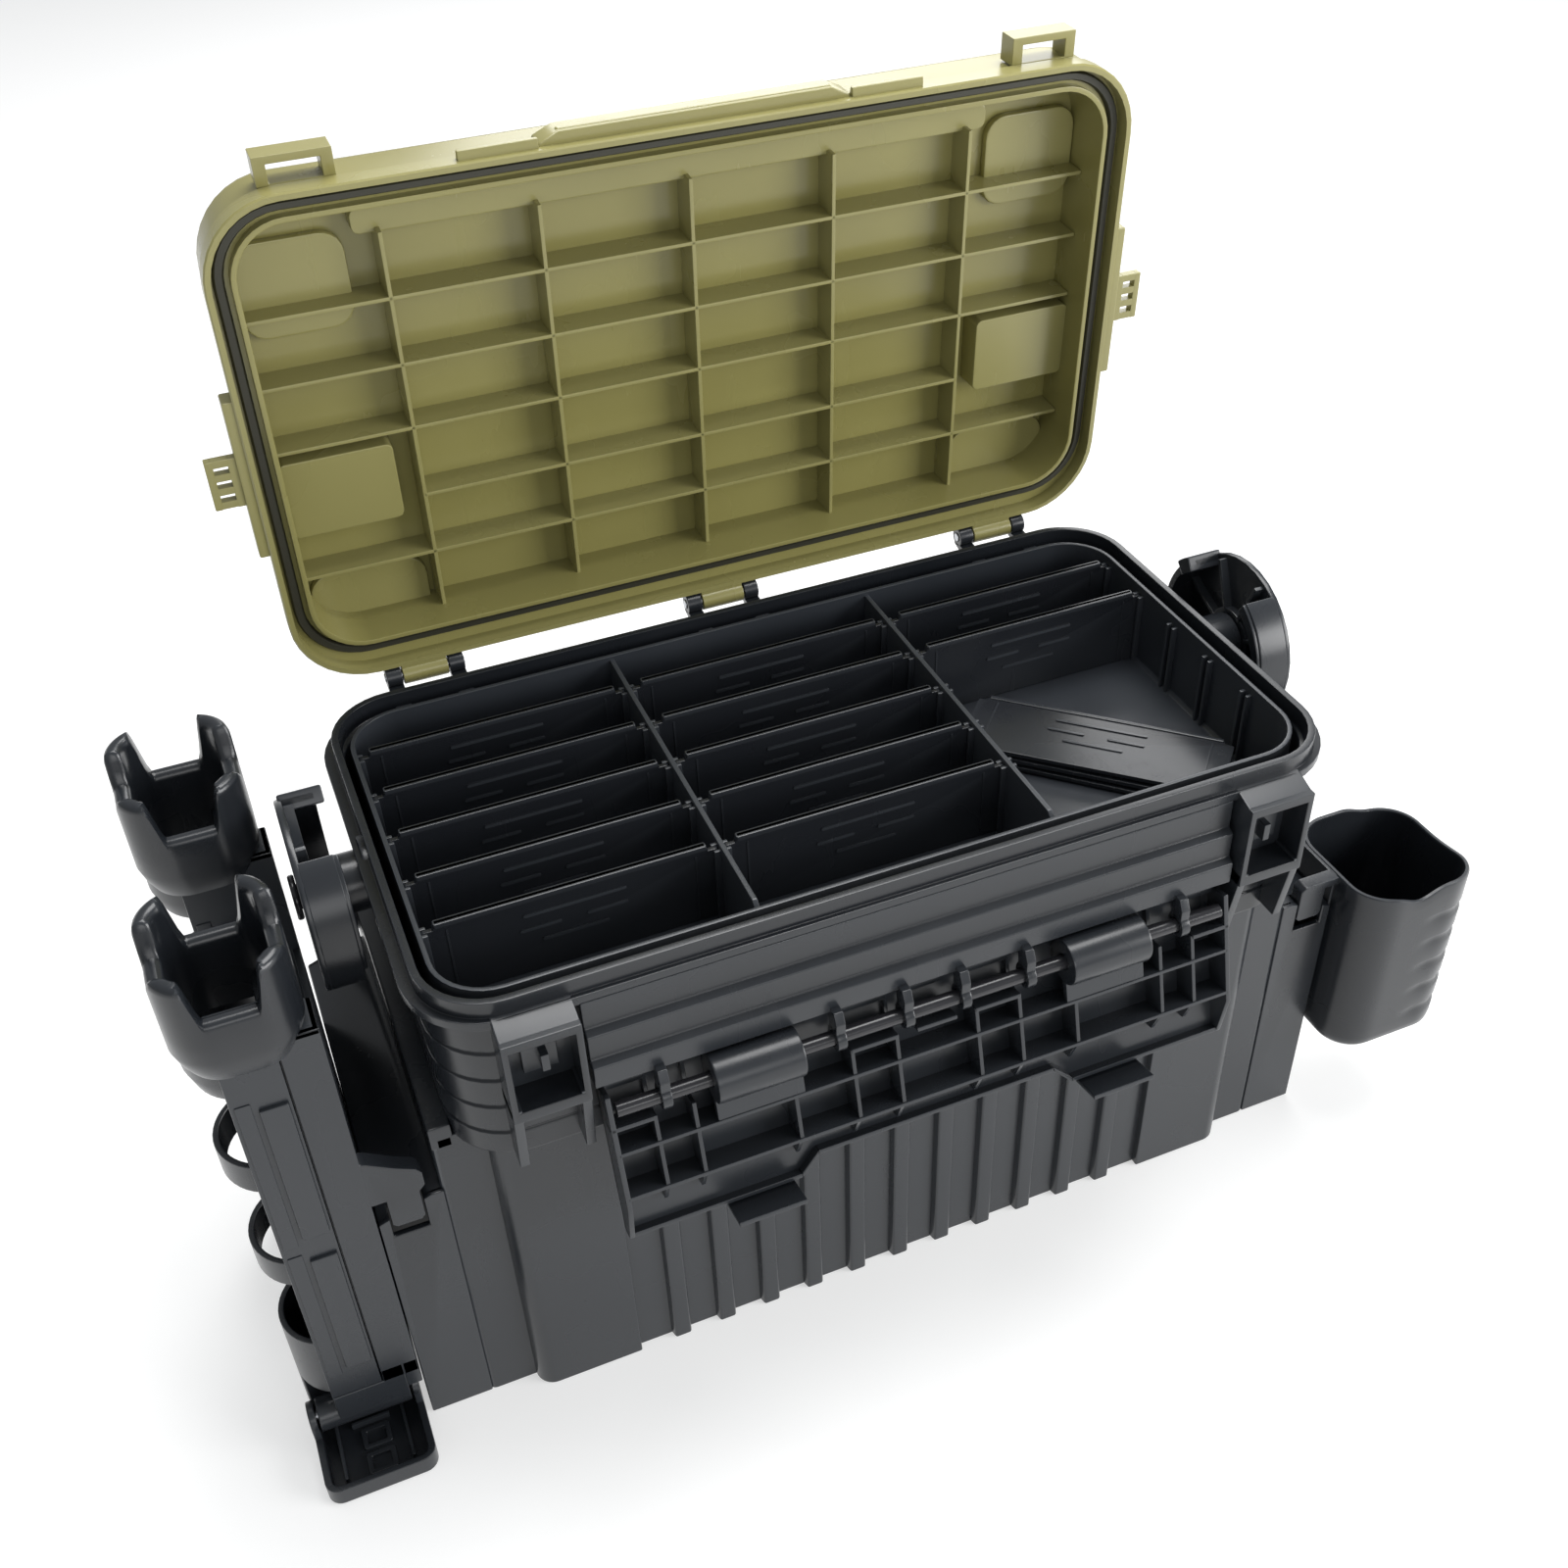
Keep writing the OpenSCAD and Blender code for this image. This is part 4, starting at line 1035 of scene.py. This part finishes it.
@dataclass
class Cup:
    """Hang-on cup with a wavy rim and finger grooves."""

    corner: float = 18.0
    wall: float = 2.5
    floor: float = 3.0

    def __post_init__(self) -> None:
        """Reads the cup's box from the CAD."""
        low, high = cad_box("cup")
        self.low, self.high = low, high
        self.width = high.x - (cad_box("tub")[1].x + 1.5)
        self.depth = high.y - low.y
        self.middle = (high.x - self.width / 2, (low.y + high.y) / 2)

    def line(self, inset: float) -> list[Flat]:
        """The cup's outline, pulled in."""
        width, depth = self.width - 2 * inset, self.depth - 2 * inset
        return densify(rounded(width, depth, self.corner - inset, self.middle, 12))

    def rim(self, x: float, y: float) -> float:
        """Drop of the rim: a dip on the front face and a lower outer half."""
        dx, dy = x - self.middle[0], y - self.middle[1]
        dip = 5.0 * math.exp(-((dx + 4) / 9) ** 2) * smooth(0, -20, dy) if dy < 0 else 0.0
        return 0.4 + 5.0 * smooth(-2, 16, dx) * smooth(-36, 6, dy) + dip

    def groove(self, x: float, y: float, z: float, sink: float) -> Solid3:
        """Draws a point of the outline inwards on the outer half, as far as sink."""
        dx, dy = x - self.middle[0], y - self.middle[1]
        pull = sink * smooth(0, 12, dx)
        return (x - pull * dx / 31, y - pull * dy / 31.5, z)

    def build(self) -> None:
        """Builds the cup and its hanging hook."""
        s = Moulding()
        z0, z1 = self.low.z, self.high.z
        level = lambda inset, z: [(x, y, z) for x, y in self.line(inset)]
        top = lambda inset, less: [(x, y, z1 - self.rim(x, y) - less) for x, y in self.line(inset)]
        rings = [level(6, z0), level(2.2, z0 + 1.0), level(0.5, z0 + 3.4), level(0, z0 + 7)]
        for k in range(5):
            z = z0 + 14 + 15 * k
            for rise, sink in ((-1.5, 0.0), (0.4, 0.9), (3.6, 0.9), (5.5, 0.0)):
                rings.append([self.groove(x, y, z + rise, sink) for x, y in self.line(0)])
        wall = self.wall
        rings += [top(0, 6), top(0, 1.2), top(0.6, 0.2), top(wall - 0.6, 0.2), top(wall, 1.2),
                  level(wall, z0 + 12), level(wall + 0.5, z0 + 5), level(wall + 4, z0 + self.floor)]
        s.loft(rings, 0.0)
        cheek = cad_box("tub")[1].x
        s.box((cheek + 0.4, -75, 72), (cheek + 3, -44, 145), 0.7)
        hook = [(cheek + 2, 141), (cheek + 2, 145), (202, 145), (199.5, 143), (199.5, 127), (201, 125),
                (211, 125), (212.5, 127), (212.5, 141)]
        s.prism(hook, Axis.Y, -77, -70, 0.8)
        for y in (-62, -50):
            s.box((cheek + 0.6, y, 74), (cheek + 4, y + 1.6, 143), 0.3)
        s.piece("cup_moulding", "cup", BLACK, ["cup"])


# ---------------------------------------------------------------- tray


@dataclass
class Tray:
    """Lift-out tray, its partitions and divider guides, and all the dividers."""

    pitch: float = 28.0
    first: float = 66.0
    rows: int = 5
    guide: float = 2.4
    divider: float = 2.0
    divider_high: float = 37.0

    def __post_init__(self) -> None:
        """Reads the tray's box from the CAD and works out its three columns."""
        self.low, self.high = cad_box("tray")
        self.half = self.high.x
        self.deep = self.high.y
        self.floor = self.low.z + 2
        self.rows_y = [self.first - self.pitch * k for k in range(self.rows)]
        edges = [-self.half + 2, -61.1, -58.9, 60.9, 63.1, self.half - 2]
        self.columns = list(zip(edges[::2], edges[1::2]))

    def body(self) -> None:
        """Tray shell, partitions with sloped front ends, and guide pairs."""
        s = Moulding()
        w, d = 2 * self.half, 2 * self.deep
        z0, z1 = self.low.z, self.high.z
        line = lambda inset: rounded(w - 2 * inset, d - 2 * inset, 23 - inset, steps=9)
        s.vessel([(line(2.0), z0), (line(0), z0 + 2), (line(0), z1), (line(2), z1),
                  (line(2), self.floor + 1.6), (line(3.6), self.floor)], 0.5)
        front, back = -self.deep + 1, self.deep - 1
        profile = [(front, self.floor - 1), (back, self.floor - 1), (back, z1 - 2), (front + 7, z1 - 2),
                   (front, z1 - 8)]
        for before, after in zip(self.columns, self.columns[1:]):
            s.prism(profile, Axis.X, before[1], after[0], 0.5)
        for left, right in self.columns:
            for y in self.rows_y:
                for side in SIDES:
                    m = y + side * (self.divider / 2 + 1.1)
                    s.box((left - 1, m - 0.8, self.floor - 1), (left + self.guide, m + 0.8, z1 - 4), 0.4)
                    s.box((right - self.guide, m - 0.8, self.floor - 1), (right + 1, m + 0.8, z1 - 4), 0.4)
        # The tray's colour is its own black plus a painted sheen.
        s.piece("tray_moulding", "tray", TRAY_BLACK_WITH_SHEEN, ["tray"])

    def plate(self, name: str, body: str, column: int, place: Matrix) -> None:
        """One divider, drawn standing with its foot at z = 0.

        Args:
            name: the CAD node it stands for.
            body: the body it rides on.
            column: which column it fits.
            place: where it stands or lies, in millimetres.
        """
        s = Moulding(place)
        left, right = self.columns[column]
        w, h, t = (right - left - 0.8) / 2, self.divider_high, self.divider / 2
        face = [(-w, 0), (w, 0), (w, h - 3.4), (w - 1, h - 3), (w - 4, h - 3), (w - 4.6, h), (-w + 4.6, h),
                (-w + 4, h - 3), (-w + 1, h - 3), (-w, h - 3.4)]
        s.prism(face, Axis.Y, -t, t, 0.3)
        s.box((-w + 4.7, -t - 0.6, h - 2.2), (w - 4.7, t + 0.6, h), 0.5)
        for x, reach, z in ((0, 20, 28.4), (-14, 8, 21.5), (12, 8, 21.5), (-1, 13, 15)):
            dash = rounded(2 * reach, 1.5, 0.74, (x, z), 3)
            s.prism(dash, Axis.Y, -t - 0.5, -t + 0.2, 0.25)
        for side in SIDES:
            s.box((side * (w - 9) - 0.4, -t - 0.3, 2), (side * (w - 9) + 0.4, -t + 0.2, h - 4), 0.1)
        s.piece(name + "_plate", body, DIVIDER_BLACK, [name])

    def dividers(self) -> None:
        """Standing dividers in their slots and the spare ones lying flat."""
        foot = self.floor + 0.1
        for column, (word, count) in enumerate((("left", 5), ("middle", 5), ("right", 2))):
            middle = sum(self.columns[column]) / 2
            for k in range(count):
                name = f"divider_{word}_{k + 1}"
                self.plate(name, name, column, Matrix.Translation((middle, self.rows_y[k], foot)))
        for k in range(3):
            lift = Matrix.Translation((119.8, -24 + 0.8 * k, self.floor + 1.8 + 3.3 * k))
            turn = Matrix.Rotation(math.radians(-44 + 0.5 * k), 4, "Z")
            flat = Matrix.Rotation(-math.pi / 2, 4, "X")
            drop = Matrix.Translation((0, 0, -self.divider_high / 2))
            self.plate(f"loose_divider_{k + 1}", "tray", 2, lift @ (turn @ flat) @ drop)

    def build(self) -> None:
        """Builds the tray and its dividers."""
        self.body()
        self.dividers()


# ---------------------------------------------------------------- pins


@dataclass
class Pins:
    """Pins and pivots, all on the tub."""

    def straight(self, name: str, joint_name: str, radius: float, spans: list[Flat], finish: Finish) -> None:
        """Pins along X on a joint's axis.

        Args:
            name: the CAD node.
            joint_name: the joint whose axis they lie on.
            radius: their radius.
            spans: where each starts and ends.
            finish: their material.
        """
        s = Moulding()
        spot = Vector(joint(joint_name)["pos_m"]) / MM
        for a, b in spans:
            s.rod(Axis.X, (spot.y, spot.z), radius, a, b, 0.4)
        s.piece(name + "_rod", "tub", finish, [name])

    def build(self) -> None:
        """Builds every pin."""
        self.straight("latch_pin", "latch_hinge", 3, [(-127.5, 127.5)], PIN_BLACK)
        self.straight("lid_hinge_pins", "lid_hinge", 2, [(x - 17.5, x + 17.5) for x in HINGE_X], STEEL)
        self.straight("foot_pin", "foot_fold", 2, [(-265.8, -220.2)], STEEL)
        s = Moulding()
        spot = Vector(joint("handle_swing")["pos_m"]) / MM
        for side in SIDES:
            s.mirrored(side)
            s.rod(Axis.X, (spot.y, spot.z), 5, 188, 213, 0.4)
            s.rod(Axis.X, (spot.y, spot.z), 9, 212.7, 215.2, 0.8)
        s.piece("handle_pivots_rod", "tub", PIN_BLACK, ["handle_pivots"])


# ---------------------------------------------------------------- studio


@dataclass
class Studio:
    """Pale floor, soft lights and the camera."""

    azimuth: float = -21.08
    elevation: float = 38.81
    roll: float = -2.24
    place: Solid3 = (-0.21136, -0.50785, 0.65919)
    lens: float = 38.81

    def floor(self) -> None:
        """A wide pale floor under the box."""
        bpy.ops.mesh.primitive_plane_add(size=40, location=(0, 0, -0.0004))
        ground = bpy.context.object
        ground.name = "floor"
        paper = bpy.data.materials.new("studio_paper")
        paper.use_nodes = True
        skin = paper.node_tree.nodes["Principled BSDF"]
        skin.inputs["Base Color"].default_value = (0.56, 0.56, 0.558, 1)
        skin.inputs["Roughness"].default_value = 0.9
        skin.inputs["Specular IOR Level"].default_value = 0.1
        skin.inputs["Emission Color"].default_value = (1.0, 1.0, 0.995, 1)
        skin.inputs["Emission Strength"].default_value = 0.5
        ground.data.materials.append(paper)

    def light(self, name: str, spot: Solid3, aim: Solid3, size: Flat, power: float) -> None:
        """One rectangular soft light.

        Args:
            name: its name.
            spot: where it stands, in metres.
            aim: the point it faces.
            size: its width and height.
            power: its power in watts.
        """
        data = bpy.data.lights.new(name, "AREA")
        data.shape = "RECTANGLE"
        data.size, data.size_y = size
        data.energy = power
        lamp = bpy.data.objects.new(name, data)
        lamp.location = spot
        lamp.rotation_euler = (Vector(aim) - Vector(spot)).to_track_quat("-Z", "Y").to_euler()
        bpy.context.scene.collection.objects.link(lamp)

    def camera(self) -> None:
        """The camera, looking down at the front left."""
        a, e, r = (math.radians(v) for v in (self.azimuth, self.elevation, self.roll))
        back = Vector((math.sin(a) * math.cos(e), -math.cos(a) * math.cos(e), math.sin(e)))
        right = Vector((0, 0, 1)).cross(back).normalized()
        up = back.cross(right)
        side = right * math.cos(r) + up * math.sin(r)
        top = up * math.cos(r) - right * math.sin(r)
        turn = Matrix((side, top, back)).transposed().to_4x4()
        data = bpy.data.cameras.new("camera")
        data.sensor_width = 36
        data.lens = self.lens
        data.clip_start = 0.05
        eye = bpy.data.objects.new("camera", data)
        eye.matrix_world = Matrix.Translation(self.place) @ turn
        bpy.context.scene.collection.objects.link(eye)
        bpy.context.scene.camera = eye

    def build(self) -> None:
        """Sets the whole studio."""
        self.camera()
        self.floor()
        world = bpy.data.worlds.new("studio")
        world.use_nodes = True
        sky = world.node_tree.nodes["Background"]
        sky.inputs["Color"].default_value = (0.94, 0.97, 1.0, 1)
        sky.inputs["Strength"].default_value = 0.42
        bpy.context.scene.world = world
        bpy.context.scene.view_settings.view_transform = "Standard"
        aim = (0.05, 0, 0.15)
        self.light("top", (0.35, 0.30, 1.7), aim, (1.3, 1.0), 30)
        self.light("front_right", (1.5, -1.2, 0.75), aim, (1.1, 0.9), 30)
        self.light("front", (-0.1, -2.2, 1.0), (0, 0, 0.15), (1.3, 0.8), 8)
        self.light("back_right", (0.9, 1.7, 1.3), aim, (1.4, 1.0), 16)


def main() -> None:
    """Builds the studio and every sub-assembly in order."""
    logging.basicConfig(level=logging.INFO, format="%(name)s %(message)s")
    for maker in (Studio(), Tub(), Lid(), LatchFlap(), CarryHandle(), RodStand(), Cup(), Tray(), Pins()):
        LOG.info("building %s", type(maker).__name__)
        maker.build()


if __name__ == "__main__":
    main()
